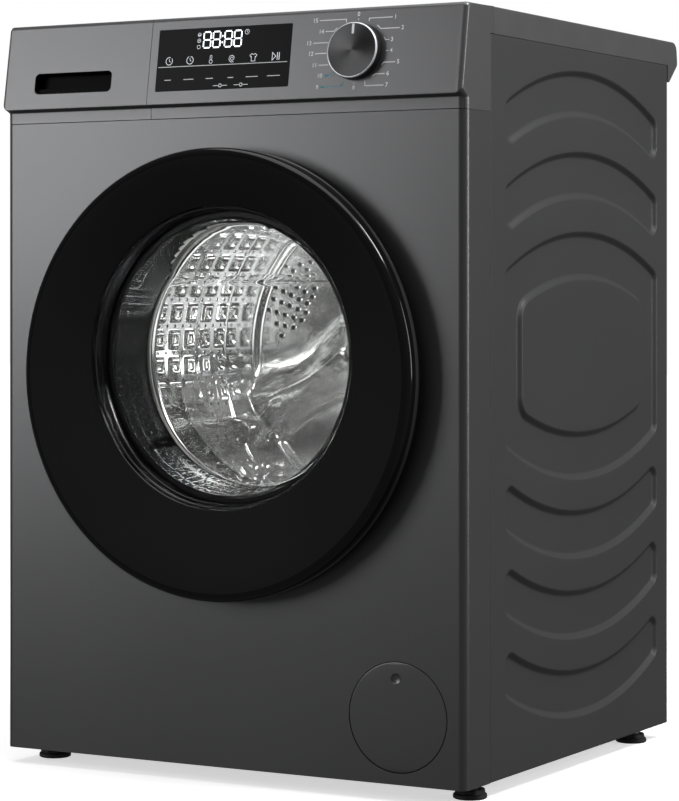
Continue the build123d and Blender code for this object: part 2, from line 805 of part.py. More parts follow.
# ---- pump and water path -----------------------------------------------------
def pump_housing():
    body = tube_y(35, 30.5, 34, 118, filter_x, filter_z)
    body += disc_y(35, 114, 124, filter_x, filter_z)
    body += disc_y(28, 120, 165, filter_x, filter_z)
    body -= disc_y(3 + running_fit, 110, 150, filter_x, filter_z)
    body += block(filter_x - 26, filter_x + 26, 60, 150, tray_plate + 1.5, 64)
    inlet = Pos((sump_x + filter_x) / 2, sump_y - 50, 78) * Rot(0, 90, 0) * Cylinder(17, 96)
    body += inlet & block(sump_x - 20, filter_x - 20, 0, 300, 0, 200)
    body += rod_z(22, 60, 96, sump_x, sump_y - 50)
    body += rod_z(12, 100, 140, outlet_x, 105)
    body += block(filter_x + 20, outlet_x, 96, 114, 96, 114)
    body -= disc_y(30.5, 30, 114, filter_x, filter_z)
    body -= rod_z(9, 110, 150, outlet_x, 105)
    body += block(sump_x - 20, sump_x + 20, sump_y - 60, sump_y, 66, 90)
    body += tube_z(25, 20, 80, 118, sump_x, sump_y)
    return body


def pump_filter():
    cap = disc_y(30, 26, 36, filter_x, filter_z)
    cap += block(filter_x - 24, filter_x + 24, 21, 27, filter_z - 5, filter_z + 5)
    cap += tube_y(29, 25, 30, 92, filter_x, filter_z)
    for x, z in around(6, 27, 0, filter_x, filter_z):
        cap -= disc_y(7, 50, 86, x, z)
    return cap


def pump_impeller():
    wheel = disc_y(8, 100, 108, filter_x, filter_z) + disc_y(3, 100, 145, filter_x, filter_z)
    for i in range(4):
        blade = block(-1.5, 1.5, 100, 108, 0, 20)
        wheel += Pos(filter_x, 0, filter_z) * Rot(0, 45 + 90 * i, 0) * blade
    return wheel


def filter_flap():
    flap = disc_y(flap_r, 0, flap_sheet, filter_x, filter_z)
    flap = fillet(flap.edges().filter_by(GeomType.CIRCLE).sort_by(Axis.Y)[:1], 1.0)
    flap += tube_y(flap_skirt_r, flap_skirt_r - 1.5, flap_sheet - 0.5, snap_back - 4, filter_x, filter_z)
    for turn in (45, 135, 225, 315):
        finger = block(flap_skirt_r - 1.5, flap_skirt_r, flap_sheet - 0.5, snap_back, -4, 4)
        finger += block(flap_skirt_r - 1, snap_reach, snap_back - 2.5, snap_back, -4, 4)
        flap += Pos(filter_x, 0, filter_z) * Rot(0, turn, 0) * finger
    dimple = Pos(filter_x - 2, -dimple_ball_r + dimple_depth, filter_z + 41) * Sphere(dimple_ball_r)
    return flap - dimple


def drain_hose():
    points = [(outlet_x, 105, 141), (outlet_x, 110, 245), (outlet_x, 270, 270),
              (outlet_x, 430, 250), (outlet_x, 455, outlet_z), (outlet_x, side_rear - 2, outlet_z)]
    radii = []
    for i in range(1, len(points) - 1):
        before = Vector(*points[i]) - Vector(*points[i - 1])
        after = Vector(*points[i + 1]) - Vector(*points[i])
        half_turn = math.radians(before.get_angle(after)) / 2
        radii.append(0.45 * min(before.length, after.length) / math.tan(half_turn))
    print("drain hose bend radii", [round(radius) for radius in radii])
    path = FilletPolyline(*points, radius=radii)
    section = Plane(path @ 0, z_dir=path % 0) * (Circle(12) - Circle(9))
    return sweep(section, path)


def rear_glands():
    outlet = tube_y(13.5, 9, side_rear - 1, side_rear + 20, outlet_x, outlet_z)
    outlet += tube_y(19, 13, side_rear + sheet, side_rear + 4, outlet_x, outlet_z)
    gland = disc_y(8.5, side_rear - 6, side_rear + 3, -outlet_x, outlet_z)
    gland += disc_y(13, side_rear + sheet, side_rear + 8, -outlet_x, outlet_z)
    gland -= disc_y(4, side_rear - 10, side_rear + 10, -outlet_x, outlet_z)
    return Compound([outlet, gland])


def inlet_valve():
    body = block(-240, -180, 520, side_rear - 1, 762, 806)
    for x in (-224, -196):
        body += rod_z(12, 735, 764, x, 530)
    body += disc_y(inlet_r, 530, side_rear + 24, inlet_x, inlet_z)
    body += disc_y(inlet_r + 3, side_rear + sheet, side_rear + 5, inlet_x, inlet_z)
    return body - disc_y(inlet_r - 4, 534, side_rear + 30, inlet_x, inlet_z)


# ---- feet and fasteners ------------------------------------------------------
def foot(side, y):
    x = side * foot_x
    pad = rod_z(foot_r, 0, 6, x, y)
    pad = fillet(pad.edges().filter_by(GeomType.CIRCLE), 1.5)
    pad += Pos(x, y, 5) * extrude(RegularPolygon(foot_r - 1, 8), 6)
    pad += Pos(x, y, 10) * extrude(RegularPolygon(9, 6), 3)
    return pad + rod_z(stud_r, 5, 56, x, y)


def cabinet_fasteners():
    pieces = []
    for side in (-1, 1):
        for y in foot_y:
            nut = Pos(side * foot_x, y, 13.6) * extrude(RegularPolygon(9, 6), tray_plate - 13.6)
            pieces.append(nut - rod_z(stud_r + running_fit, 0, 40, side * foot_x, y))
        for z in (40, 200, 360, 560, 700, 780):
            pieces.append(disc_y(4, side_rear + sheet, side_rear + sheet + 3, side * 284, z))
        for z in (door_z - 32, door_z + 32):
            if side < 0:
                pieces.append(disc_y(3.5, -5, -3, hinge_x + 20, z))
    for x, z in around(8, 172, 22.5):
        pieces.append(disc_y(4, side_rear + 2 * sheet, side_rear + 2 * sheet + 3, x, z))
    return Compound(pieces)


# ---- write every piece -------------------------------------------------------
def main():
    os.makedirs("parts", exist_ok=True)
    right = side_panel()
    save("right_side_panel", right)
    save("left_side_panel", mirror(right, about=Plane.YZ))
    makers = [
        front_panel, base_tray, rear_panel, rear_access_cover, transit_plugs, worktop, top_braces,
        control_fascia, display_window, display_board, dial_knob, control_board, drawer_front,
        drawer_tray, dispenser_box, door_ring, door_frame, door_glass, door_hinge_leaf,
        door_hinge_bracket, door_hinge_pin, door_latch_hook, door_lock, door_gasket,
        tub_front_shell, tub_rear_shell, tub_screws, front_counterweight, top_counterweight,
        drum_bearings, heater, motor_housing, motor_pulley, drive_belt, damper_rods,
        damper_cylinders, suspension_springs, drum_shell, drum_back, drum_lifters, drum_spider,
        drum_shaft, drum_pulley, pump_housing, pump_filter, pump_impeller, filter_flap,
        drain_hose, rear_glands, inlet_valve, cabinet_fasteners,
    ]
    for maker in makers:
        save(maker.__name__, maker())
    save("sump_hose", bellows_z(sump_x, sump_y, 118, 195, 19, 25, 7))
    save("dispenser_hose", bellows_z(spout_x, spout_y, 684, 728, 17, 23, 4))
    for side, side_name in ((-1, "left"), (1, "right")):
        for y, end_name in zip(foot_y, ("front", "rear")):
            save("foot_" + end_name + "_" + side_name, foot(side, y))


main()
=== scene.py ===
import math

import bmesh
import bpy
import numpy as np
from mathutils import Matrix, Vector, geometry


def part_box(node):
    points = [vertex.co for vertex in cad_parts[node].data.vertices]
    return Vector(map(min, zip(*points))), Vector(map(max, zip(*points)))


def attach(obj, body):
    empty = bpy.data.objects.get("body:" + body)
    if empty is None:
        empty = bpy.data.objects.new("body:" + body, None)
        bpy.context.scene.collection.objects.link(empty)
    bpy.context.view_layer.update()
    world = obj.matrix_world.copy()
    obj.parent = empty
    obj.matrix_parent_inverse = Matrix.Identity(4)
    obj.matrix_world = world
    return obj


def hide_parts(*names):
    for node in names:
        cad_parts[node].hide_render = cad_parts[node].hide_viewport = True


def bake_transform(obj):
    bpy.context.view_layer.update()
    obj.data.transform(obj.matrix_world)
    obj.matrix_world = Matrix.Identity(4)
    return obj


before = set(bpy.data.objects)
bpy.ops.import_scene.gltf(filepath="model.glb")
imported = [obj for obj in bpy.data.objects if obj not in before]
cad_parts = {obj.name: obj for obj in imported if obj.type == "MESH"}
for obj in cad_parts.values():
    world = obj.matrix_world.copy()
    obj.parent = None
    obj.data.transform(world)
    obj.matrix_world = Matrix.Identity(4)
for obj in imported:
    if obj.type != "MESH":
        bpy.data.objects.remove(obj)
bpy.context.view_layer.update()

# Front loading washing machine. Everything below is drawn in millimetres in the
# machine's own terms: x across (0 in the middle), y back from the front panel's
# outer face, z up from the floor. place() turns that into the frame's metres.
MM = 0.001

# ---- sizes read from the frame -----------------------------------------------
panel_low, panel_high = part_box("front_panel")
side_low, side_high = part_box("right_side_panel")
top_low, top_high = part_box("worktop")
FRONT = panel_low.y / MM
HALF_W = panel_high.x / MM
CABINET_BOTTOM = panel_low.z / MM
PANEL_TOP = panel_high.z / MM
SIDE_FRONT = side_low.y / MM - FRONT
SIDE_REAR = side_high.y / MM - FRONT
SIDE_TOP = side_high.z / MM
HEIGHT = top_high.z / MM
TOP_FRONT = top_low.y / MM - FRONT
TOP_REAR = top_high.y / MM - FRONT
LIP_END = top_low.z / MM
SEAM = 0.3
WELD = 2e-6

# ---- sizes of the design -------------------------------------------------------
DRUM_Z = 471.0
DOOR_Z = 453.0
DOOR_R = 249.0
DOOR_PROUD = 35.0
OPENING_R = 190.0
INNER_R = 165.0
BOWL_R = 157.0
BOWL_END_R = 149.0
BOWL_DEPTH = 73.0
DRUM_R = 243.6
DRUM_FRONT = 98.0
DRUM_REAR = 400.0
DRUM_MOUTH = 158.0
STRIP_TOP = 750.0
LIP_Z = 753.0
LIP_PROUD = 10.0
FASCIA_WALL = 2.5
FACE_BACK = 5.0
DRAWER_SEAM = -98.0
WINDOW_X = (-87.7, 84.7)
WINDOW_Z = (767.2, 836.4)
POCKET_X = (-253.8, -148.0)
POCKET_Z = (769.8, 793.7)
DIAL_X = 166.8
DIAL_Z = 801.4
DIAL_R = 31.0
DIAL_PROUD = 10.6
CORNER_R = 9.0
EDGE_R = 5.0
FILTER_X = 216.0
FILTER_Z = 90.0
FLAP_R = 59.0
FLAP_SHEET = 2.5
FLAP_SKIRT_R = 57.0
SNAP_REACH = 59.6
SNAP_BACK = 12.0
DIMPLE_DEPTH = 1.9
FULL_TURN = 2 * math.pi


def swap_yz(point):
    """For flat faces across the machine, which fill() works out in x and z."""
    return (point[0], point[2], point[1])


def place(x, y, z):
    return (x * MM, (y + FRONT) * MM, z * MM)


# ---- materials -----------------------------------------------------------------
def add_node(tree, kind, values=None, **settings):
    """A shader node with its settings, and the values of its unlinked sockets."""
    node = tree.nodes.new("ShaderNode" + kind)
    for key, value in settings.items():
        setattr(node, key, value)
    for socket, value in (values or {}).items():
        node.inputs[socket].default_value = value
    return node


def join(tree, *links):
    """Links given as (node, its output, node, its input)."""
    for source, output, target, socket in links:
        tree.links.new(source.outputs[output], target.inputs[socket])


def new_material(name):
    material = bpy.data.materials.new(name)
    material.use_nodes = True
    return material, material.node_tree, material.node_tree.nodes["Principled BSDF"]


def colour_ramp(tree, dark, light, start=0.3, end=0.7):
    ramp = add_node(tree, "ValToRGB")
    for stop, position, colour in zip(ramp.color_ramp.elements, (start, end), (dark, light)):
        stop.position = position
        stop.color = (*colour, 1)
    return ramp


def set_sockets(shader, values):
    for socket, value in values.items():
        shader.inputs[socket].default_value = value


def surface(name, dark, light, rough, metallic=0.0, scale=8.0, stretch=(1, 1, 1), fine=900.0,
            bump=0.02, specular=0.5):
    """A finish whose colour and roughness drift between two limits, with a fine grain as bump."""
    material, tree, shader = new_material(name)
    where = add_node(tree, "TexCoord")
    mapping = add_node(tree, "Mapping", {"Scale": stretch})
    drift = add_node(tree, "TexNoise", {"Scale": scale, "Detail": 4.0})
    tones = colour_ramp(tree, dark, light)
    grain = add_node(tree, "TexNoise", {"Scale": fine, "Detail": 2.0})
    gloss = add_node(tree, "MapRange", {"To Min": rough[0], "To Max": rough[1]})
    relief = add_node(tree, "Bump", {"Strength": bump, "Distance": 0.001})
    join(tree, (where, "Object", mapping, "Vector"), (mapping, "Vector", drift, "Vector"),
         (drift, "Fac", tones, "Fac"), (tones, "Color", shader, "Base Color"),
         (mapping, "Vector", grain, "Vector"), (grain, "Fac", gloss, "Value"),
         (gloss, "Result", shader, "Roughness"), (grain, "Fac", relief, "Height"),
         (relief, "Normal", shader, "Normal"))
    set_sockets(shader, {"Metallic": metallic, "Specular IOR Level": specular})
    return material


def grey(value, blue=1.03):
    return (value, value * 1.005, value * blue)


def glass_material():
    """Clear glass with the faintest smear of unevenness."""
    material, tree, shader = new_material("door_glass")
    where = add_node(tree, "TexCoord")
    smear = add_node(tree, "TexNoise", {"Scale": 18.0})
    gloss = add_node(tree, "MapRange", {"To Min": 0.0, "To Max": 0.015})
    wave = add_node(tree, "Bump", {"Strength": 0.06, "Distance": 0.002})
    join(tree, (where, "Object", smear, "Vector"), (smear, "Fac", gloss, "Value"),
         (gloss, "Result", shader, "Roughness"), (smear, "Fac", wave, "Height"),
         (wave, "Normal", shader, "Normal"))
    set_sockets(shader, {"Base Color": (0.95, 0.96, 0.97, 1), "Transmission Weight": 1.0, "IOR": 1.48})
    return material


def glow(name, colour, strength):
    """A lit display segment, with a faint cloudy unevenness."""
    material, tree, shader = new_material(name)
    cloud = add_node(tree, "TexNoise", {"Scale": 700.0})
    tones = colour_ramp(tree, [c * 0.85 for c in colour], colour, 0.0, 1.0)
    join(tree, (cloud, "Fac", tones, "Fac"), (tones, "Color", shader, "Base Color"),
         (tones, "Color", shader, "Emission Color"))
    set_sockets(shader, {"Emission Strength": strength, "Roughness": 0.4})
    return material


def brushed(name, dark, light, rough, centre, axis):
    """Turned metal: fine rings about an axis, and a highlight drawn out along the radius."""
    material, tree, shader = new_material(name)
    where = add_node(tree, "TexCoord")
    offset = add_node(tree, "VectorMath", {1: centre}, operation="SUBTRACT")
    around = add_node(tree, "VectorMath", {1: axis}, operation="CROSS_PRODUCT")
    tangent = add_node(tree, "VectorMath", operation="NORMALIZE")
    reach = add_node(tree, "VectorMath", operation="LENGTH")
    rings = add_node(tree, "TexNoise", {"Scale": 4500.0, "Detail": 3.0}, noise_dimensions="1D")
    tones = colour_ramp(tree, dark, light)
    gloss = add_node(tree, "MapRange", {"To Min": rough[0], "To Max": rough[1]})
    join(tree, (where, "Object", offset, 0), (offset, "Vector", around, 0),
         (around, "Vector", tangent, 0), (tangent, "Vector", shader, "Tangent"),
         (offset, "Vector", reach, 0), (reach, "Value", rings, "W"), (rings, "Fac", tones, "Fac"),
         (tones, "Color", shader, "Base Color"), (rings, "Fac", gloss, "Value"),
         (gloss, "Result", shader, "Roughness"))
    set_sockets(shader, {"Metallic": 1.0, "Anisotropic": 0.85})
    return material


FRONT_PAINT = surface("front_paint", grey(0.105), grey(0.115), (0.32, 0.39), metallic=0.75,
                      scale=3, fine=2600, bump=0.03, specular=0.4)
SIDE_PAINT = surface("side_paint", grey(0.05), grey(0.056), (0.42, 0.5), metallic=0.3,
                     scale=3, fine=2200, bump=0.04, specular=0.35)
TOP_LAMINATE = surface("top_laminate", grey(0.07), grey(0.08), (0.42, 0.52), metallic=0.2, scale=20,
                       fine=1200, bump=0.05)
FASCIA = surface("fascia_lacquer", grey(0.13), grey(0.14), (0.34, 0.42), metallic=0.7, scale=4,
                 fine=2600, bump=0.02, specular=0.4)
DOOR_BLACK = surface("door_black", grey(0.03), grey(0.034), (0.2, 0.26), scale=6, fine=1500,
                     bump=0.004, specular=0.06)
DOOR_EDGE = surface("door_edge_black", grey(0.004), grey(0.006), (0.1, 0.14), scale=6, fine=1500,
                    bump=0.004, specular=0.35)
DOOR_BAND = surface("door_band", grey(0.09), grey(0.11), (0.2, 0.26), metallic=0.6, scale=8, fine=1500)
PANE = surface("display_pane", grey(0.006), grey(0.008), (0.16, 0.2), scale=10, fine=1500, bump=0.002,
               specular=0.03)
RUBBER_GREY = surface("gasket_rubber", grey(0.014), grey(0.02), (0.5, 0.65), scale=14, fine=700, bump=0.08)
RUBBER_BLACK = surface("black_rubber", grey(0.012), grey(0.02), (0.5, 0.7), scale=25, fine=900, bump=0.1)
# painted shade: the pocket liner's black is darkened below the black plastic to stand for the shade inside
# the recess
POCKET_SHADED_BLACK = surface("pocket_black", grey(0.003), grey(0.005), (0.4, 0.5), scale=30, fine=1300, bump=0.06,
                       specular=0.03)
PLASTIC_BLACK = surface("black_plastic", grey(0.014), grey(0.02), (0.38, 0.5), scale=30, fine=1300, bump=0.06)
PLASTIC_WHITE = surface("white_plastic", grey(0.62, 0.98), grey(0.68, 0.98), (0.35, 0.45), scale=12,
                        fine=800, bump=0.03)
TUB_PLASTIC = surface("tub_plastic", grey(0.5, 0.96), grey(0.56, 0.96), (0.45, 0.55), scale=9, fine=500,
                      bump=0.06)
ZINC = surface("zinc_plate", grey(0.5), grey(0.62), (0.28, 0.42), metallic=1, scale=40, fine=600, bump=0.05)
STEEL = surface("brushed_steel", grey(0.62, 0.99), grey(0.72, 0.99), (0.16, 0.26), metallic=1,
                scale=30, stretch=(1, 12, 1), fine=400, bump=0.02)
DRUM_STEEL = surface("drum_steel", grey(0.66, 0.99), grey(0.74, 0.99), (0.1, 0.17), metallic=1,
                     scale=14, stretch=(1, 6, 1), fine=300, bump=0.015)
ALLOY = surface("cast_alloy", grey(0.5), grey(0.6), (0.4, 0.6), metallic=1, scale=60, fine=500, bump=0.25)
IRON = surface("cast_iron", grey(0.1), grey(0.16), (0.6, 0.8), metallic=0.4, scale=50, fine=350, bump=0.4)
BOARD_GREEN = surface("circuit_board", (0.01, 0.09, 0.03), (0.015, 0.12, 0.04), (0.3, 0.4), scale=60,
                      fine=600, bump=0.05)
# painted reflection: a near-white, barely metallic finish stands in for the bright reflection in the dial's
# chrome ring
DIAL_RING_PAINTED_REFLECTION = surface("satin_chrome", grey(0.94), grey(0.98), (0.3, 0.36), metallic=0.1, scale=20, fine=900,
                 bump=0.004)
# painted shade: a near-black film on the bowl's round side stands in for the darkness seen through the clear
# glass
BOWL_PAINTED_SHADE = surface("bowl_dark_coating", grey(0.006), grey(0.01), (0.3, 0.4), scale=12, fine=700, bump=0.02,
                     specular=0.1)
# painted shade: near-black discs stand for the shade seen into the drum's holes
HOLE_PAINTED_SHADE = surface("hole_shadow", grey(0.004), grey(0.008), (0.6, 0.8), scale=60, fine=900)
PRINT_WHITE = surface("white_print", grey(0.9), grey(0.95), (0.4, 0.5), scale=200, fine=2000, bump=0.01)
PRINT_GREY = surface("grey_print", grey(0.84), grey(0.9), (0.4, 0.5), scale=200, fine=2000, bump=0.01)
PRINT_TEAL = surface("teal_print", (0.03, 0.26, 0.34), (0.035, 0.3, 0.38), (0.4, 0.5), scale=200,
                     fine=2000, bump=0.01)
LIT = glow("display_light", (0.93, 0.96, 1.0), 1.6)
LIT_DIM = glow("display_light_dim", (0.8, 0.83, 0.88), 0.45)
GLASS = glass_material()


# ---- mesh tools ----------------------------------------------------------------
class Shape:
    """Vertices in machine millimetres and faces, gathered before they become a mesh."""

    def __init__(self, mapping=None):
        self.verts = []
        self.faces = []
        self.slots = []
        self.mapping = mapping or (lambda point: point)

    def points(self, points):
        start = len(self.verts)
        self.verts.extend(place(*self.mapping(p)) for p in points)
        return start

    def skin(self, loops, slot=0, closed=True, wrap=False):
        """Quads between loops of equal length."""
        count = len(loops[0])
        starts = [self.points(loop) for loop in loops]
        pairs = list(zip(starts[:-1], starts[1:]))
        if wrap:
            pairs.append((starts[-1], starts[0]))
        around = count if closed else count - 1
        for a, b in pairs:
            for i in range(around):
                j = (i + 1) % count
                self.faces.append((a + i, a + j, b + j, b + i))
                self.slots.append(slot)

    def fan(self, loop, slot=0):
        start = self.points(loop)
        self.faces.append(tuple(range(start, start + len(loop))))
        self.slots.append(slot)

    def add(self, other):
        start = len(self.verts)
        self.verts += other.verts
        self.faces += [tuple(i + start for i in face) for face in other.faces]
        self.slots += other.slots

    def solid(self, loops):
        """A skin whose two ends are closed."""
        self.skin(loops)
        self.fan(loops[0])
        self.fan(loops[-1])

    def fill(self, loops, slot=0):
        """A flat face with holes; loops hold (u, v, w) points, filled in u and v."""
        flat = [[Vector((p[0], p[1], 0)) for p in loop] for loop in loops]
        start = self.points([p for loop in loops for p in loop])
        for triangle in geometry.tessellate_polygon(flat):
            self.faces.append(tuple(start + i for i in triangle))
            self.slots.append(slot)


def show(name, data):
    """An object in the scene that holds data."""
    thing = bpy.data.objects.new(name, data)
    bpy.context.scene.collection.objects.link(thing)
    return thing


def clean_mesh(mesh, sharp=None):
    """Welds a mesh and turns its faces outward; with sharp, shades it smooth up to that angle."""
    work = bmesh.new()
    work.from_mesh(mesh)
    bmesh.ops.remove_doubles(work, verts=work.verts, dist=WELD)
    bmesh.ops.recalc_face_normals(work, faces=work.faces)
    if sharp is not None:
        for face in work.faces:
            face.smooth = True
        for edge in work.edges:
            edge.smooth = len(edge.link_faces) != 2 or edge.calc_face_angle() < math.radians(sharp)
    work.to_mesh(mesh)
    work.free()


def finish_piece(thing, materials, body, stands_for=(), weighted=True):
    for material in materials:
        thing.data.materials.append(material)
    if weighted:
        shading = thing.modifiers.new("flat faces stay flat", "WEIGHTED_NORMAL")
        shading.keep_sharp = True
        shading.weight = 90
    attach(thing, body)
    if stands_for:
        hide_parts(*stands_for)


def piece(name, shape, materials, body, stands_for=(), sharp=32, weighted=True):
    mesh = bpy.data.meshes.new(name)
    mesh.from_pydata(shape.verts, [], shape.faces)
    mesh.polygons.foreach_set("material_index", shape.slots)
    clean_mesh(mesh, sharp)
    finish_piece(show(name, mesh), materials, body, stands_for, weighted)


def loose_mesh(name, shape):
    mesh = bpy.data.meshes.new(name)
    mesh.from_pydata(shape.verts, [], shape.faces)
    clean_mesh(mesh)
    return show(name, mesh)


def carve(thing, cutters):
    """Cuts the cutters out of a closed mesh and bakes the result into it."""
    for cutter in cutters:
        cut = thing.modifiers.new("cut", "BOOLEAN")
        cut.operation = "DIFFERENCE"
        cut.solver = "EXACT"
        cut.object = cutter
    bpy.context.view_layer.update()
    graph = bpy.context.evaluated_depsgraph_get()
    result = bpy.data.meshes.new_from_object(thing.evaluated_get(graph))
    thing.modifiers.clear()
    thing.data = result
    for cutter in cutters:
        bpy.data.objects.remove(cutter)


def circle(radius, y, z=DRUM_Z, x=0.0, steps=160):
    points = []
    for i in range(steps):
        angle = FULL_TURN * i / steps
        points.append((x + radius * math.cos(angle), y, z + radius * math.sin(angle)))
    return points


def turned(rings, steps=160, x=0.0, z=DRUM_Z, wrap=False, slots=None):
    """A skin over circles about a y axis; rings are (radius, y) or (radius, y, centre z)."""
    shape = Shape()
    loops = []
    for ring in rings:
        centre = ring[2] if len(ring) > 2 else z
        loops.append(circle(ring[0], ring[1], centre, x, steps))
    if slots is None:
        shape.skin(loops, wrap=wrap)
    else:
        for i, slot in enumerate(slots):
            shape.skin([loops[i], loops[(i + 1) % len(loops)]], slot)
    return shape


def arc_points(centre, radius, start, end, steps):
    points = []
    for i in range(steps + 1):
        angle = math.radians(start + (end - start) * i / steps)
        points.append((centre[0] + radius * math.cos(angle), centre[1] + radius * math.sin(angle)))
    return points


def rounded_rectangle(x0, x1, z0, z1, radius, steps=6):
    points = []
    points += arc_points((x1 - radius, z0 + radius), radius, -90, 0, steps)
    points += arc_points((x1 - radius, z1 - radius), radius, 0, 90, steps)
    points += arc_points((x0 + radius, z1 - radius), radius, 90, 180, steps)
    points += arc_points((x0 + radius, z0 + radius), radius, 180, 270, steps)
    return points


def prism(profile, x0, x1, name):
    """A closed bar with a (y, z) profile from x0 to x1."""
    shape = Shape()
    shape.solid([[(x, y, z) for y, z in profile] for x in (x0, x1)])
    return loose_mesh(name, shape)


def cylinder_cutter(radius, y0, y1, x, z):
    shape = Shape()
    shape.solid([circle(radius, y, z, x) for y in (y0, y1)])
    return loose_mesh("cutter", shape)


# ---- the leaning face of the control fascia --------------------------------------
FACE_RISE = HEIGHT - LIP_Z
FACE_RUN = LIP_PROUD + FACE_BACK
FACE_LENGTH = math.hypot(FACE_RISE, FACE_RUN)


def on_face(point):
    """(x, height z on the face, distance out of the face) to machine millimetres."""
    x, z, out = point
    share = (z - LIP_Z) / FACE_RISE
    y = -LIP_PROUD + share * FACE_RUN - out * FACE_RISE / FACE_LENGTH
    return (x, y, z + out * FACE_RUN / FACE_LENGTH)


def face_strip(shape, points, width, out=0.06, slot=0, closed=False):
    """A printed line of even width along (x, z) points on the leaning face."""
    left, right = [], []
    count = len(points)
    for i, point in enumerate(points):
        before = Vector(points[(i - 1) % count if closed else max(i - 1, 0)])
        after = Vector(points[(i + 1) % count if closed else min(i + 1, count - 1)])
        here = Vector(point)
        normals = []
        for a, b in ((before, here), (here, after)):
            if (b - a).length > 1e-9:
                along = (b - a).normalized()
                normals.append(Vector((-along.y, along.x)))
        mean = sum(normals, Vector((0, 0))).normalized()
        reach = width / 2 / max(mean.dot(normals[0]), 0.4)
        left.append((*(here + mean * reach), out))
        right.append((*(here - mean * reach), out))
    base_left = [(x, z, -0.02) for x, z, _ in left]
    base_right = [(x, z, -0.02) for x, z, _ in right]
    shape.skin([base_left, left, right, base_right], slot, closed=closed)


# ---- front panel -----------------------------------------------------------------
def front_panel():
    """Front sheet with rounded upright edges, the door opening, the filter opening and the latch slot."""
    wall = 1.2
    y1 = SIDE_FRONT - SEAM

    def u_shape(inset):
        x = HALF_W - inset
        r = CORNER_R - inset
        points = [(-x, y1)]
        for side, start in ((-1, math.pi), (1, 1.5 * math.pi)):
            points += [(side * (x - r) + r * math.cos(a), inset + r + r * math.sin(a))
                       for a in np.linspace(start, start + math.pi / 2, 9)]
        points.append((x, y1))
        return points

    outer = u_shape(0)
    inner = u_shape(wall)
    ring = outer + inner[::-1]
    shape = Shape()
    low = [(x, y, CABINET_BOTTOM) for x, y in ring]
    high = [(x, y, PANEL_TOP) for x, y in ring]
    shape.skin([low, high])
    for loop in (low, high):
        count = len(outer)
        start = shape.points(loop)
        for i in range(count - 1):
            j = 2 * count - 1 - i
            shape.faces.append((start + i, start + i + 1, start + j - 1, start + j))
            shape.slots.append(0)
    panel = loose_mesh("front_panel_skin", shape)
    cutters = [cylinder_cutter(OPENING_R, -4, 6, 0, DRUM_Z),
               cylinder_cutter(FLAP_R + 0.7, -4, 6, FILTER_X, FILTER_Z)]
    latch_slot = prism([(-4, DOOR_Z - 14), (6, DOOR_Z - 14), (6, DOOR_Z + 14), (-4, DOOR_Z + 14)],
                       203, 224, "cutter")
    carve(panel, cutters + [latch_slot])
    clean_mesh(panel.data, 32)
    finish_piece(panel, [FRONT_PAINT], "cabinet", ["front_panel"])
    # turned-in lips: door opening, filter cup, bottom and top returns
    lips = turned([(OPENING_R, 0.0), (OPENING_R, 13.0), (OPENING_R + 0.5, 14.0), (OPENING_R + wall, 14.0),
                   (OPENING_R + wall, wall)], 160)
    cup = turned([(FLAP_R + 0.9, 0.4), (FLAP_R + 0.9, 18.4), (34, 18.4), (34, 20), (FLAP_R + 2.2, 20),
                  (FLAP_R + 2.2, wall)], 96, FILTER_X, FILTER_Z)
    lips.add(cup)
    for z0, z1 in ((CABINET_BOTTOM, CABINET_BOTTOM + wall), (PANEL_TOP - wall, PANEL_TOP)):
        section = [(0.6, z0), (20, z0), (20, z1), (0.6, z1)]
        lips.solid([[(x, y, z) for y, z in section] for x in (-HALF_W + 9, HALF_W - 9)])
    for side in (-1, 1):
        section = [(HALF_W - 8, y1 - wall), (HALF_W - wall, y1 - wall), (HALF_W - wall, y1),
                   (HALF_W - 8, y1)]
        lips.solid([[(side * x, y, z) for x, y in section]
                    for z in (CABINET_BOTTOM + 1, PANEL_TOP - 1)])
    piece("front_panel_lips", lips, [FRONT_PAINT], "cabinet")


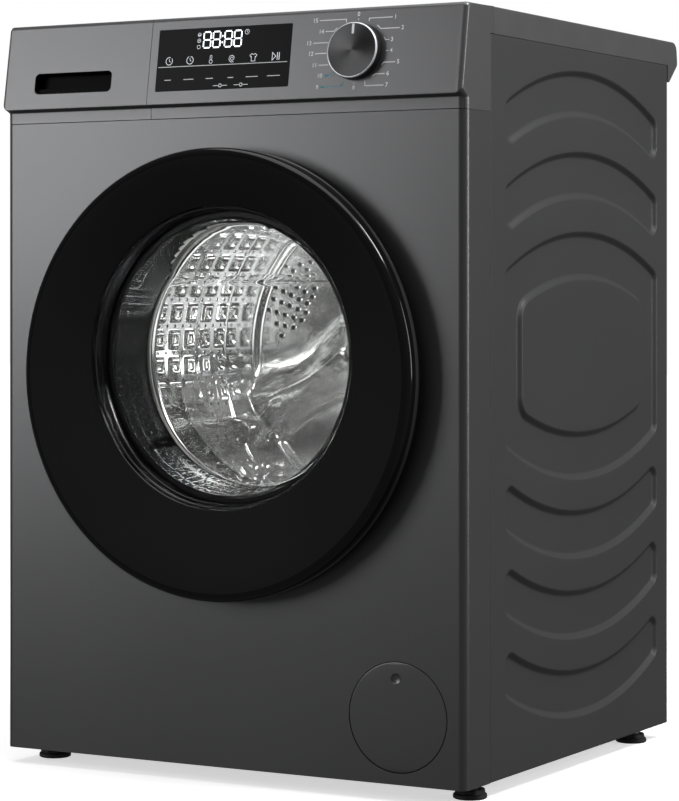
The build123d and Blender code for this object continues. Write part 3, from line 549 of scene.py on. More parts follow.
def filter_flap():
    """Snap-in cover of the drain filter: a plate with a dimple, a skirt and four snap fingers."""
    rings = [(FLAP_R - 4, 2.5), (FLAP_R, 2.5), (FLAP_R, 0.9), (FLAP_R - 0.3, 0.3), (FLAP_R - 1.0, 0.0)]
    shape = turned(rings, 96, FILTER_X, FILTER_Z)
    dimple_x, dimple_z, dimple_r = FILTER_X - 2.0, FILTER_Z + 41.0, 6.2
    outer = circle(FLAP_R - 1.0, 0.0, FILTER_Z, FILTER_X, 96)
    rim = circle(dimple_r, 0.0, dimple_z, dimple_x, 32)
    flat = Shape(swap_yz)
    flat.fill([[(x, z, y) for x, y, z in outer], [(x, z, y) for x, y, z in rim[::-1]]])
    bowl = []
    for share in (1.0, 0.93, 0.8, 0.6, 0.35, 0.05):
        depth = DIMPLE_DEPTH * math.sqrt(1 - share ** 2)
        bowl.append(circle(dimple_r * share, depth, dimple_z, dimple_x, 32))
    flat.skin([[(x, z, y) for x, y, z in loop] for loop in bowl])
    shape.add(flat)
    shape.fan(circle(FLAP_R - 4, 2.5, FILTER_Z, FILTER_X, 96))
    back = SNAP_BACK - 4
    skirt_in = FLAP_SKIRT_R - 1.5
    shape.add(turned([(skirt_in, FLAP_SHEET - 0.2), (skirt_in, back), (FLAP_SKIRT_R, back),
                      (FLAP_SKIRT_R, FLAP_SHEET - 0.2)], 96, FILTER_X, FILTER_Z))
    for turn in (45, 135, 225, 315):
        spin = Matrix.Rotation(math.radians(turn), 3, "Y")

        def finger(point, spin=spin):
            turned_point = spin @ Vector(point)
            return (turned_point.x + FILTER_X, turned_point.y, turned_point.z + FILTER_Z)

        hook = Shape(finger)
        section = [(skirt_in, FLAP_SHEET), (skirt_in, SNAP_BACK), (FLAP_SKIRT_R, SNAP_BACK),
                   (SNAP_REACH, SNAP_BACK - 1.6), (SNAP_REACH, SNAP_BACK - 2.2),
                   (FLAP_SKIRT_R, SNAP_BACK - 2.6), (FLAP_SKIRT_R, FLAP_SHEET)]
        hook.solid([[(x, y, z) for x, y in section] for z in (-4, 4)])
        shape.add(hook)
    piece("filter_flap_face", shape, [FRONT_PAINT], "flap", ["filter_flap"])


# ---- side panels -----------------------------------------------------------------
BAND_FRONT = 97.0
BAND_REAR = 507.0
BAND_SAG = 45.0
BAND_DEPTH = 4.5
BAND_CORNER = 11.0
SLOPE = 8.0
RING_APEX = 138.5
ISLAND = (134.0, 470.0, 90.0, 31.0, 24.0)
UPPER_BANDS = [(182.5, 229.5), (275.5, 321.5)]
LOWER_BANDS = [(179.5, 228.5), (270.5, 319.5), (360.5, 408.5)]


def arc_side(y0, y1, apex, sag, upward, inset, steps):
    """One curved side of a pressing as (point, outward normal), from y0 to y1, pulled in by inset."""
    chord = abs(y1 - y0) / 2
    middle = (y0 + y1) / 2
    radius = (chord ** 2 + sag ** 2) / (2 * abs(sag))
    bulge = 1 if sag > 0 else -1
    centre = apex - bulge * radius
    pulled = radius - inset * bulge * upward
    direction = 1 if y1 > y0 else -1
    samples = []
    for i in range(steps + 1):
        y = (y0 + direction * inset) + (y1 - y0 - 2 * direction * inset) * i / steps
        z = centre + bulge * math.sqrt(pulled ** 2 - (y - middle) ** 2)
        normal = Vector((y - middle, z - centre)).normalized() * bulge * upward
        samples.append((Vector((y, z)), normal))
    return samples


def pressing(y0, y1, top_apex, top_sag, low_apex, low_sag, corner):
    """A closed outline as (point, normal): moving each point by corner along its normal gives
    the outline with its corners rounded."""
    steps = 40
    top = arc_side(y0, y1, top_apex, top_sag, 1, corner, steps)
    bottom = arc_side(y1, y0, low_apex, -low_sag, -1, corner, steps)
    rear = [(top[-1][0].lerp(bottom[0][0], t), Vector((1, 0))) for t in (0, 1)]
    front = [(bottom[-1][0].lerp(top[0][0], t), Vector((-1, 0))) for t in (0, 1)]
    sides = [top, rear, bottom, front]
    outline = []
    for i, side in enumerate(sides):
        outline += side
        here, next_side = side[-1], sides[(i + 1) % 4]
        for t in (0.2, 0.4, 0.6, 0.8):
            outline.append((here[0], here[1].lerp(next_side[0][1], t).normalized()))
    return outline


def grown(outline, distance, depth):
    return [(p.x + n.x * distance, p.y + n.y * distance, depth) for p, n in outline]


def slope_loops(outline, corner, sink):
    """Loops down the soft slope of a pressing, from the panel's level to its floor."""
    loops = []
    steps = 8
    for i in range(steps + 1):
        t = i / steps
        smooth = t * t * (3 - 2 * t)
        depth = BAND_DEPTH * (smooth if sink else 1 - smooth)
        reach = corner + SLOPE / 2 - SLOPE * t
        loops.append(grown(outline, reach, depth))
    return loops


def side_panel(side, name, node):
    """One side of the cabinet, pressed with arched bands that follow the drum."""
    shape = Shape(lambda p: (side * (HALF_W - p[2]), p[0], p[1]))
    outlines = []
    for low, high in UPPER_BANDS:
        outlines.append(pressing(BAND_FRONT, BAND_REAR, DRUM_Z + high, BAND_SAG, DRUM_Z + low,
                                 -BAND_SAG, BAND_CORNER))
    for high, low in LOWER_BANDS:
        outlines.append(pressing(BAND_FRONT, BAND_REAR, DRUM_Z - high, -BAND_SAG, DRUM_Z - low,
                                 BAND_SAG, BAND_CORNER))
    ring = pressing(BAND_FRONT, BAND_REAR, DRUM_Z + RING_APEX, BAND_SAG, DRUM_Z - RING_APEX, BAND_SAG,
                    BAND_CORNER)
    holes = []
    for outline in outlines:
        loops = slope_loops(outline, BAND_CORNER, True)
        shape.skin(loops)
        shape.fill([loops[-1]])
        holes.append(loops[0])
    ring_loops = slope_loops(ring, BAND_CORNER, True)
    shape.skin(ring_loops)
    holes.append(ring_loops[0])
    y0, y1, apex, sag, corner = ISLAND
    island = pressing(y0, y1, DRUM_Z + apex, sag, DRUM_Z - apex, sag, corner)
    island_loops = slope_loops(island, corner, False)
    shape.skin(island_loops)
    shape.fill([ring_loops[-1], island_loops[0][::-1]])
    shape.fill([island_loops[-1]])
    # outer border with a folded edge
    edge = 1.6
    y0, y1, z0, z1 = SIDE_FRONT, SIDE_REAR, CABINET_BOTTOM, SIDE_TOP

    def border(inset, depth):
        return [(u, v, depth) for u, v in rounded_rectangle(y0 + inset, y1 - inset, z0 + inset, z1 - inset,
                                                            max(1.2 - inset * 0.5, 0.2), 3)]

    shape.fill([border(edge, 0.0)] + [hole[::-1] for hole in holes])
    folds = [border(edge, 0.0)]
    for t in (0.25, 0.5, 0.75, 1.0):
        angle = t * math.pi / 2
        folds.append(border(edge * (1 - math.sin(angle)), edge * (1 - math.cos(angle))))
    folds.append(border(0.0, 14.0))
    shape.skin(folds)
    piece(name, shape, [SIDE_PAINT], "cabinet", [node], sharp=40)


# ---- worktop ---------------------------------------------------------------------
def worktop():
    """Laminate board with a rounded rear edge, and the top edges of its two ends broken."""
    corner = 12.0
    profile = [(TOP_FRONT, SIDE_TOP), (TOP_FRONT, HEIGHT)]
    profile += arc_points((TOP_REAR - corner, HEIGHT - corner), corner, 90, 0, 8)
    profile += [(TOP_REAR, SIDE_TOP + 3), (TOP_REAR - 0.8, SIDE_TOP + 1), (SIDE_REAR + 6.5, LIP_END + 0.5),
                (SIDE_REAR + 5.5, LIP_END), (SIDE_REAR + 1.5, LIP_END), (SIDE_REAR + 1.5, SIDE_TOP)]
    board = prism(profile, -HALF_W, HALF_W, "worktop_board")

    work = bmesh.new()
    work.from_mesh(board.data)
    chosen = []
    for edge in work.edges:
        middle = (edge.verts[0].co + edge.verts[1].co) / 2
        if abs(abs(middle.x / MM) - HALF_W) < 0.2 and middle.z / MM > HEIGHT - 13:
            chosen.append(edge)
    bmesh.ops.bevel(work, geom=chosen, offset=2.0 * MM, segments=4, profile=0.5, affect="EDGES")
    work.to_mesh(board.data)
    work.free()
    clean_mesh(board.data, 32)
    finish_piece(board, [TOP_LAMINATE], "cabinet", ["worktop"])


# ---- control fascia --------------------------------------------------------------
def fascia_profile(rear):
    """(y, z) of the fascia's section: bottom strip, lip, leaning face, rounded top."""
    bottom = PANEL_TOP + SEAM
    profile = [(0.6, bottom), (0.0, bottom + 0.6), (0.0, STRIP_TOP - 1.2), (-0.6, STRIP_TOP)]
    low = on_face((0, LIP_Z + 1.4, 0))
    profile += [(-LIP_PROUD + 2.0, LIP_Z - 1.4), (-LIP_PROUD + 0.6, LIP_Z - 0.4), (low[1], low[2])]
    top_r = 5.0
    top = on_face((0, HEIGHT - top_r * 0.9, 0))
    profile.append((top[1], top[2]))
    profile.append((FACE_BACK + 0.4, HEIGHT - 2.2))
    profile.append((FACE_BACK + 1.9, HEIGHT - 0.6))
    profile.append((FACE_BACK + 4.2, HEIGHT))
    profile += [(rear, HEIGHT), (rear, bottom)]
    return profile


def inner_profile(rear, wall):
    bottom = PANEL_TOP - 4
    top = on_face((0, HEIGHT - 8, 0))
    low = on_face((0, LIP_Z + 3, 0))
    return [(wall, bottom), (wall, STRIP_TOP + 1), (low[1] + wall, low[2]), (top[1] + wall, top[2]),
            (FACE_BACK + 6, HEIGHT - wall), (rear, HEIGHT - wall), (rear, bottom)]


def face_block(x0, x1, z0, z1, radius, deep, high=6.0):
    """A cutter standing on the leaning face over a rounded rectangle."""
    loop = rounded_rectangle(x0, x1, z0, z1, radius)
    shape = Shape(on_face)
    shape.solid([[(x, z, out) for x, z in loop] for out in (-deep, high)])
    return loose_mesh("cutter", shape)


def quarter(radius, start, value):
    """How far a rounded corner has fallen away at value, past start."""
    reach = min(max(value - start, 0.0), radius)
    return radius - math.sqrt(radius * radius - reach * reach)


def ended_prism(profile, seam_x, side, name):
    """The fascia's bar from seam_x to the machine's side, with its outer end rounded over."""
    end = [HALF_W - CORNER_R + CORNER_R * math.sin(a) for a in np.linspace(0, math.pi / 2, 11)]
    loops = []
    for x in [side * seam_x] + end:
        low = quarter(CORNER_R, HALF_W - CORNER_R, x)
        edge = quarter(EDGE_R, HALF_W - EDGE_R, x)
        loop = []
        for y, z in profile:
            if y > FACE_BACK + 8:
                loop.append((side * x, y, z))
            elif z <= STRIP_TOP and y > -1:
                loop.append((side * x, y + low, z))
            elif z < LIP_Z + 2:
                loop.append((side * x, y + edge, z + low))
            else:
                loop.append((side * x, y + edge, z - 0.6 * edge * (z > HEIGHT - 3)))
        loops.append(loop)
    shape = Shape()
    shape.solid(loops)
    return loose_mesh(name, shape)


def control_fascia():
    """Fascia to the right of the drawer, and the fixed frame that the drawer closes against."""
    wall = FASCIA_WALL
    body = ended_prism(fascia_profile(TOP_FRONT - SEAM), DRAWER_SEAM + SEAM, 1, "control_fascia_shell")
    cutters = [prism(inner_profile(TOP_FRONT + 8, wall), DRAWER_SEAM - 8, HALF_W - wall, "cutter")]
    below_top = [(SIDE_FRONT, PANEL_TOP - 8), (TOP_FRONT + 6, PANEL_TOP - 8),
                 (TOP_FRONT + 6, SIDE_TOP + SEAM), (SIDE_FRONT, SIDE_TOP + SEAM)]
    cutters.append(prism(below_top, HALF_W - 12, HALF_W + 4, "cutter"))
    cutters.append(face_block(WINDOW_X[0] - 0.3, WINDOW_X[1] + 0.3, WINDOW_Z[0] - 0.3, WINDOW_Z[1] + 0.3,
                              1.6, 1.4))
    carve(body, cutters)
    clean_mesh(body.data, 30)
    # fixed frame behind the drawer front
    x0, x1 = -HALF_W, DRAWER_SEAM + 1
    hole = (-286, -114, 744, 819)
    surround = Shape()
    for y in (13.0, 15.0):
        outer = [(x0, PANEL_TOP + SEAM, y), (x1, PANEL_TOP + SEAM, y), (x1, HEIGHT, y), (x0, HEIGHT, y)]
        inner = [(hole[0], hole[2], y), (hole[0], hole[3], y), (hole[1], hole[3], y), (hole[1], hole[2], y)]
        plate = Shape(swap_yz)
        plate.fill([outer, inner])
        surround.add(plate)
    rim = [(hole[0], hole[2]), (hole[1], hole[2]), (hole[1], hole[3]), (hole[0], hole[3])]
    surround.skin([[(x, 13.0, z) for x, z in rim], [(x, 15.0, z) for x, z in rim]])
    roof = [(13, HEIGHT - wall), (13, HEIGHT), (TOP_FRONT - SEAM, HEIGHT), (TOP_FRONT - SEAM, HEIGHT - wall)]
    wing = [(13, PANEL_TOP + SEAM), (SIDE_FRONT - SEAM, PANEL_TOP + SEAM),
            (SIDE_FRONT - SEAM, SIDE_TOP + SEAM), (TOP_FRONT - SEAM, SIDE_TOP + SEAM),
            (TOP_FRONT - SEAM, HEIGHT), (13, HEIGHT)]
    for section, end in ((roof, x1), (wing, x0 + wall)):
        surround.solid([[(x, y, z) for y, z in section] for x in (x0, end)])
    piece("drawer_surround", surround, [FASCIA], "cabinet")
    finish_piece(body, [FASCIA], "cabinet", ["control_fascia"])


def drawer_front():
    """The drawer's share of the fascia, with its finger pocket and the pocket's liner, black and darkened
    further as painted shade of the recess.
    """
    back = 12.5
    wall = FASCIA_WALL
    front = ended_prism(fascia_profile(back), DRAWER_SEAM - SEAM, -1, "drawer_front_shell")
    pocket = face_block(*POCKET_X, *POCKET_Z, 6.0, 15.0)
    inner = prism(inner_profile(back + 6, wall), -HALF_W + wall, POCKET_X[0] - 2, "cutter")
    inner_right = prism(inner_profile(back + 6, wall), POCKET_X[1] + 2, DRAWER_SEAM - SEAM - wall, "cutter")
    carve(front, [pocket, inner, inner_right])
    clean_mesh(front.data, 30)
    finish_piece(front, [FASCIA], "drawer", ["drawer_front"])
    # liner of the finger pocket, black and darkened further as painted shade of the recess: a soft mouth and
    # a sloping floor
    shape = Shape(on_face)
    loops = []
    for inset, out in ((-0.2, 0.05), (0.5, -0.5), (0.9, -2.0), (1.3, -12.0)):
        loops.append([(x, z, out) for x, z in rounded_rectangle(POCKET_X[0] + inset, POCKET_X[1] - inset,
                                                                POCKET_Z[0] + inset, POCKET_Z[1] - inset,
                                                                6.0 - inset * 0.5)])
    shape.skin(loops)
    shape.fan(loops[-1])
    shelf = rounded_rectangle(POCKET_X[0] + 1.4, POCKET_X[1] - 1.4, POCKET_Z[0] + 1.4, POCKET_Z[0] + 7.5, 2.6)
    lip = [(x, z - 0.8, -5.0) for x, z in shelf]
    shape.skin([[(x, z, -12.0) for x, z in shelf], lip])
    shape.fan(lip)
    piece("drawer_pocket_liner", shape, [POCKET_SHADED_BLACK], "drawer")


# ---- display ---------------------------------------------------------------------
# how far the marks and the digits stand out of the leaning face; the pane is at 0.1
MARK_OUT = 0.14
DIGIT_OUT = 0.16


def seven_segments(shape, x, z, wide, tall, line):
    """One digit 8 out of seven slim bars."""
    middle = z + tall / 2
    cut = line * 0.62
    for level in (z, middle, z + tall):
        face_strip(shape, [(x + cut, level), (x + wide - cut, level)], line, DIGIT_OUT)
    for side in (x, x + wide):
        for low, high in ((z, middle), (middle, z + tall)):
            face_strip(shape, [(side, low + cut), (side, high - cut)], line, DIGIT_OUT)


def ring_line(shape, x, z, radius, width):
    face_strip(shape, arc_points((x, z), radius, 0, 360 - 15, 23), width, MARK_OUT, closed=True)


def display():
    """Dark pane with lit digits, touch marks and plain bars."""
    shape = Shape(on_face)

    def inset(by, out):
        return [(x, z, out) for x, z in rounded_rectangle(WINDOW_X[0] + by, WINDOW_X[1] - by,
                                                          WINDOW_Z[0] + by, WINDOW_Z[1] - by, 1.4)]

    loops = [inset(0.0, -1.2), inset(0.0, -0.2), inset(0.12, 0.02), inset(0.4, 0.1)]
    shape.skin(loops)
    shape.fan(loops[0])
    shape.fan(loops[-1])
    piece("display_pane", shape, [PANE], "cabinet", ["display_window"])
    lights = Shape(on_face)
    tall, wide, line = 17.6, 9.2, 1.5
    base = 814.2
    for x in (-28.6, -16.4, -1.2, 11.2):
        seven_segments(lights, x, base, wide, tall, line)
    for z in (base + 5.2, base + 12.4):
        face_strip(lights, [(-4.2, z - 0.9), (-4.2, z + 0.9)], 1.6, DIGIT_OUT)
    piece("display_digits", lights, [LIT], "cabinet")
    icons = Shape(on_face)
    # status marks beside the digits
    for z in (base + 1.2, base + 8.2, base + 15.0):
        ring_line(icons, -34.6, z, 2.0, 0.5)
    face_strip(icons, [(-36.2, base + 14.6), (-33.0, base + 14.6)], 1.0, MARK_OUT)
    face_strip(icons, [(-35.6, base + 8.2), (-33.6, base + 8.2)], 0.8, MARK_OUT)
    ring_line(icons, 27.2, base + 15.6, 2.6, 0.5)
    face_strip(icons, [(27.2, base + 17.2), (27.2, base + 15.6), (28.4, base + 14.8)], 0.45, MARK_OUT)
    # row of touch marks: two clocks, thermometer, spiral, shirt, start and pause
    z = 801.0
    keys = (-72.1, -44.7, -17.3, 10.1, 37.6, 65.3)
    for x, gap in ((keys[0], 70), (keys[1], 110)):
        face_strip(icons, arc_points((x, z), 4.3, gap, gap + 330, 20), 0.65, MARK_OUT)
        face_strip(icons, [(x, z + 2.6), (x, z), (x + 1.9, z - 1.1)], 0.55, MARK_OUT)
    ring_line(icons, keys[2], z - 2.6, 2.0, 0.55)
    stem = [(-1.1, -1.2), (-1.1, 3.6), (-0.6, 4.3), (0.6, 4.3), (1.1, 3.6), (1.1, -1.2)]
    face_strip(icons, [(keys[2] + x, z + dz) for x, dz in stem], 0.5, MARK_OUT)
    spiral = []
    for i in range(40):
        angle, reach = math.radians(i * 17), 0.8 + i * 0.092
        spiral.append((keys[3] + reach * math.cos(angle), z + reach * math.sin(angle)))
    face_strip(icons, spiral, 0.55, MARK_OUT)
    shirt = [(-4.4, 2.2), (-2.0, 4.2), (-1.0, 3.2), (1.0, 3.2), (2.0, 4.2), (4.4, 2.2), (3.2, 0.3),
             (2.4, 0.9), (2.4, -4.2), (-2.4, -4.2), (-2.4, 0.9), (-3.2, 0.3)]
    face_strip(icons, [(keys[4] + x, z + dz) for x, dz in shirt], 0.55, MARK_OUT, closed=True)
    face_strip(icons, [(keys[5] - 3.4, z - 4.2), (keys[5] - 3.4, z + 4.2), (keys[5] + 1.2, z)], 0.6, MARK_OUT,
               closed=True)
    for x in (3.0, 5.4):
        face_strip(icons, [(keys[5] + x, z - 4.2), (keys[5] + x, z + 4.2)], 0.8, MARK_OUT)
    # two small combination marks under the keys
    for x in (-2.6, 24.2):
        face_strip(icons, [(x - 9.0, 771.2), (x - 2.6, 771.2)], 0.5, MARK_OUT)
        face_strip(icons, [(x + 2.6, 771.2), (x + 9.0, 771.2)], 0.5, MARK_OUT)
        ring_line(icons, x, 771.2, 1.8, 0.55)
    piece("display_icons", icons, [LIT_DIM], "cabinet")
    line_shape = Shape(on_face)
    face_strip(line_shape, [(-86.1, 794.4), (81.2, 794.4)], 0.7, MARK_OUT)
    # short blank bars stand where key names would be
    for x, half in zip(keys, (4.2, 6.6, 4.6, 3.8, 7.6, 8.2)):
        face_strip(line_shape, [(x - half, 779.6), (x + half, 779.6)], 0.8, MARK_OUT)
    piece("display_line", line_shape, [PRINT_GREY], "cabinet")


LEFT_LEADERS = [
    [(-48.3, 36.2), (-15.0, 36.2), (-14.8, 32.6)],
    [(-40.0, 23.8), (-29.5, 23.8), (-25.5, 27.4)],
    [(-54.6, 11.6), (-35.2, 11.6)],
    [(-51.3, 0.0), (-37.0, 0.0)],
    [(-45.5, -12.8), (-33.3, -12.8)],
    [(-38.0, -24.5), (-29.0, -24.5), (-24.5, -21.5)],
    [(-41.8, -36.9), (-14.0, -36.9), (-14.0, -32.2)],
]
RIGHT_LEADERS = [
    [(41.7, 36.0), (13.2, 36.0), (13.2, 32.8)],
    [(51.2, 24.0), (28.4, 24.0), (23.5, 28.0)],
    [(39.4, 11.7), (34.9, 11.7), (32.9, 14.8)],
    [(39.4, -0.2), (36.0, -0.2)],
    [(48.8, -12.7), (34.8, -12.7), (32.4, -15.4)],
    [(37.1, -25.0), (25.6, -25.0), (21.5, -27.5)],
    [(36.7, -37.3), (13.7, -37.3), (13.4, -31.9)],
]


def dial_scale():
    """Leader lines round the dial, with a plain position number at the end of each."""
    white = Shape(on_face)
    teal = Shape(on_face)

    def trace(target, points, width):
        face_strip(target, [(DIAL_X + x, DIAL_Z + z) for x, z in points], width)

    for i, points in enumerate(LEFT_LEADERS):
        if i < 5:
            trace(white, points, 0.95)
        else:
            trace(teal, points, 0.9)
            end_x, end_z = points[0]
            trace(teal, [(end_x + 1, end_z), (end_x + 4.5, end_z)], 2.6)
        position_number(15 - i, points[0][0] - 1.8, points[0][1], "RIGHT")
    for i, points in enumerate(RIGHT_LEADERS):
        trace(white, points, 0.95)
        position_number(i + 1, points[0][0] + 1.8, points[0][1], "LEFT")
    trace(white, [(0, 34.6), (0, 36.4)], 0.8)
    trace(white, [(0, -33.4), (0, -34.8)], 0.8)
    position_number(0, 0.0, 41.0, "CENTER")
    position_number(8, 0.0, -39.0, "CENTER")
    piece("dial_leader_lines", white, [PRINT_GREY], "cabinet")
    piece("dial_eco_lines", teal, [PRINT_TEAL], "cabinet")


def position_number(number, x, z, align):
    """A plain numeral, printed on the leaning face at an offset from the dial's middle."""
    name = "dial_number_%02d" % number
    letter = bpy.data.curves.new(name, "FONT")
    letter.body = str(number)
    letter.size = 6.6 * MM
    letter.offset = 0.1 * MM
    letter.extrude = 0.03 * MM
    letter.align_x = align
    letter.align_y = "CENTER"
    thing = show(name, letter)
    thing.location = place(*on_face((DIAL_X + x, DIAL_Z + z, 0.05)))
    thing.rotation_euler = (math.pi / 2 - math.atan2(FACE_RUN, FACE_RISE), 0, 0)
    bpy.context.view_layer.update()
    mesh = bpy.data.meshes.new_from_object(thing.evaluated_get(bpy.context.evaluated_depsgraph_get()))
    mesh.transform(thing.matrix_world)
    bpy.data.objects.remove(thing)
    finish_piece(show(name, mesh), [PRINT_GREY], "cabinet", weighted=False)


def dial():
    """Turned knob: dark skirt, a chrome ring painted near white as its reflection, brushed face and a white
    pointer.
    """
    steps = 128

    def ring(radius, out):
        return [(DIAL_X + radius * math.cos(FULL_TURN * i / steps),
                 DIAL_Z + radius * math.sin(FULL_TURN * i / steps) * FACE_RISE / FACE_LENGTH, out)
                for i in range(steps)]

    r, top = DIAL_R, DIAL_PROUD
    profile = [(r, 0.6, 0), (r, 2.0, 0), (r - 0.15, top - 2.4, 0), (r - 0.5, top - 1.9, 0),
               (r - 0.55, top - 1.2, 1), (r - 0.75, top - 0.45, 1), (r - 1.2, top, 1),
               (r - 1.7, top - 0.1, 1), (r - 1.95, top - 0.5, 1), (r - 2.2, top - 0.62, 2),
               (18.0, top - 0.4, 2), (8.0, top - 0.25, 2), (0.05, top - 0.2, 2)]
    shape = Shape(on_face)
    for (r0, o0, _), (r1, o1, slot) in zip(profile[:-1], profile[1:]):
        shape.skin([ring(r0, o0), ring(r1, o1)], slot)
    shape.fan(ring(r, 0.6), 0)
    face = brushed("dial_face", grey(0.03), grey(0.06), (0.24, 0.32), place(*on_face((DIAL_X, DIAL_Z, top))),
                   (0, -FACE_RISE / FACE_LENGTH, FACE_RUN / FACE_LENGTH))
    piece("dial_body", shape, [PLASTIC_BLACK, DIAL_RING_PAINTED_REFLECTION, face], "dial", ["dial_knob"])
    pointer = Shape(on_face)
    loop = rounded_rectangle(DIAL_X - 1.35, DIAL_X + 1.35, DIAL_Z + 17.4, DIAL_Z + 28.4, 0.9, 3)
    pointer.skin([[(x, z, top - 0.7) for x, z in loop], [(x, z, top + 0.02) for x, z in loop]])
    pointer.fan([(x, z, top + 0.02) for x, z in loop])
    piece("dial_pointer", pointer, [PRINT_WHITE], "dial")


# ---- door ------------------------------------------------------------------------
def door_ring():
    """Black ring: side wall with a grey band, dished face and a stepped collar down to the glass."""
    # rows of radius, y, centre height and slot: the side wall from the back to the front
    rows = [(DOOR_R + out, y, DOOR_Z, slot) for out, y, slot in
            ((-2.5, -9.0, 1), (-0.8, -9.0, 1), (0, -9.8, 1), (0, -14.0, 2), (-0.5, -14.3, 2),
             (-0.5, -20.5, 1), (0, -20.8, 1))]
    edge = 8.0
    for t in np.linspace(0, 1, 9):
        angle = t * math.pi / 2
        rows.append((DOOR_R - edge + edge * math.cos(angle), -DOOR_PROUD + edge - edge * math.sin(angle),
                     DOOR_Z, 1))
    # the face, whose centre moves from the door's to the drum's as it falls to the porthole
    dish_start = DOOR_R - 9.5
    dish_y = -34.95
    collar_y = -DOOR_PROUD + 20.0
    rows.append((dish_start, dish_y, DOOR_Z, 0))
    for t in np.linspace(0, 1, 25)[1:]:
        rows.append((dish_start + (INNER_R + 5 - dish_start) * t,
                     dish_y + (collar_y - 1.5 - dish_y) * t ** 1.25, DOOR_Z + (DRUM_Z - DOOR_Z) * t, 0))
    # the collar, then back along the ring's hidden side
    rows += [(INNER_R + out, collar_y + deep, DRUM_Z, slot) for out, deep, slot in
             ((3.8, -1.0, 1), (2.6, 0.2, 1), (2.0, 1.8, 1), (1.9, 4.0, 1), (1.2, 4.6, 2), (0.2, 5.0, 1),
              (-0.4, 6.0, 1), (-1.4, 12.0, 1), (-2.4, 12.6, 1), (-3.0, 14.0, 1))]
    rows += [(INNER_R + out, y, DRUM_Z, 1) for out, y in
             ((-4.4, 5.0), (-4.4, 5.6), (1.0, 5.6), (3.0, -8.0), (8.0, -9.0))]
    shape = turned([row[:3] for row in rows], 220, slots=[row[3] for row in rows])
    piece("door_ring_shell", shape, [DOOR_BLACK, DOOR_EDGE, DOOR_BAND], "door", ["door_ring"],
          sharp=38)


def bowl_ceiling(y):
    """Height of the bowl's slanted upper facet at depth y."""
    crease = 558.0
    return DRUM_Z + BOWL_R + 3 - (y - 22.0) * (DRUM_Z + BOWL_R + 12 - crease) / (BOWL_DEPTH + 5 - 22.0)


def bowl_loops(inset, depths, steps=160):
    """Rings of the glass bowl with its slanted upper facet."""
    loops = []
    for y in depths:
        share = (y - 6.0) / (BOWL_DEPTH - 6.0)
        radius = BOWL_R + (BOWL_END_R - BOWL_R) * share - inset
        ceiling = bowl_ceiling(y) - inset
        loop = []
        for x, _, z in circle(radius, y, steps=steps):
            soft = z - ceiling + 6.0
            if soft > 0:
                z = min(z - soft * soft / (soft + 6.0), ceiling + 0.2)
            loop.append((x, y, z))
        loops.append(loop)
    return loops


def door_glass():
    """Glass bowl with its flange, 4 mm thick."""
    shape = Shape()
    wall = 4.0
    flange = [circle(171.5, 6.2), circle(171.5, 9.8), circle(BOWL_R + 4, 9.8)]
    outer = bowl_loops(0.0, list(np.linspace(10.5, BOWL_DEPTH - 5, 12)))
    bend = []
    for inset, back in ((1.0, 2.6), (3.0, 0.8), (6.0, 0.0)):
        bend += bowl_loops(inset, [BOWL_DEPTH - back])
    shape.skin(flange + outer[:1], 1)
    # the bowl's round side carries a near-black film outside, painted shade for the darkness seen through the
    # glass; its slanted facet is clear
    for near, far in zip(outer[:-1], outer[1:]):
        shape.skin([near, far])
        for i, point in enumerate(near):
            if point[2] < bowl_ceiling(point[1]) - 5:
                shape.slots[i - len(near)] = 1
    shape.skin([outer[-1]] + bend)
    shape.fan(bend[-1])
    inner = bowl_loops(wall, list(np.linspace(6.2, BOWL_DEPTH - wall - 4, 12)))
    inner_bend = bowl_loops(wall + 1.0, [BOWL_DEPTH - wall - 1.6])
    inner_bend += bowl_loops(wall + 3.5, [BOWL_DEPTH - wall])
    shape.skin([flange[0]] + inner + inner_bend)
    shape.fan(inner_bend[-1])
    piece("glass_bowl", shape, [GLASS, BOWL_PAINTED_SHADE], "door", ["door_glass"], sharp=50)


# ---- drum ------------------------------------------------------------------------
LIFTER_ANGLE = math.radians(-154.5)
SECTOR = FULL_TURN / 3
PAD_STEP = math.radians(7.8)
PAD_ALONG = 35.0
PAD_FIRST = 132.0
PAD_HALF = 12.0
PAD_ROWS = 6
WALL_END = 389.0
RIM_Y = 390.5
FLOOR_Y = 399.0


def drum_point(angle, y, radius):
    return (radius * math.cos(angle), y, DRUM_Z + radius * math.sin(angle))


def rise(start, end, value):
    """Smooth step from 0 at start to 1 at end."""
    t = np.clip((value - start) / (end - start), 0, 1)
    return t * t * (3 - 2 * t)


def soft_box(u, v, half, edge):
    """1 inside a soft-edged square, falling to 0 over edge."""
    step = np.clip((half - np.maximum(np.abs(u), np.abs(v))) / edge, 0, 1)
    return step * step * (3 - 2 * step)


def from_sector_middle(angle):
    """Angle measured from the middle between the two nearest lifters."""
    return (angle - LIFTER_ANGLE) % SECTOR - SECTOR / 2


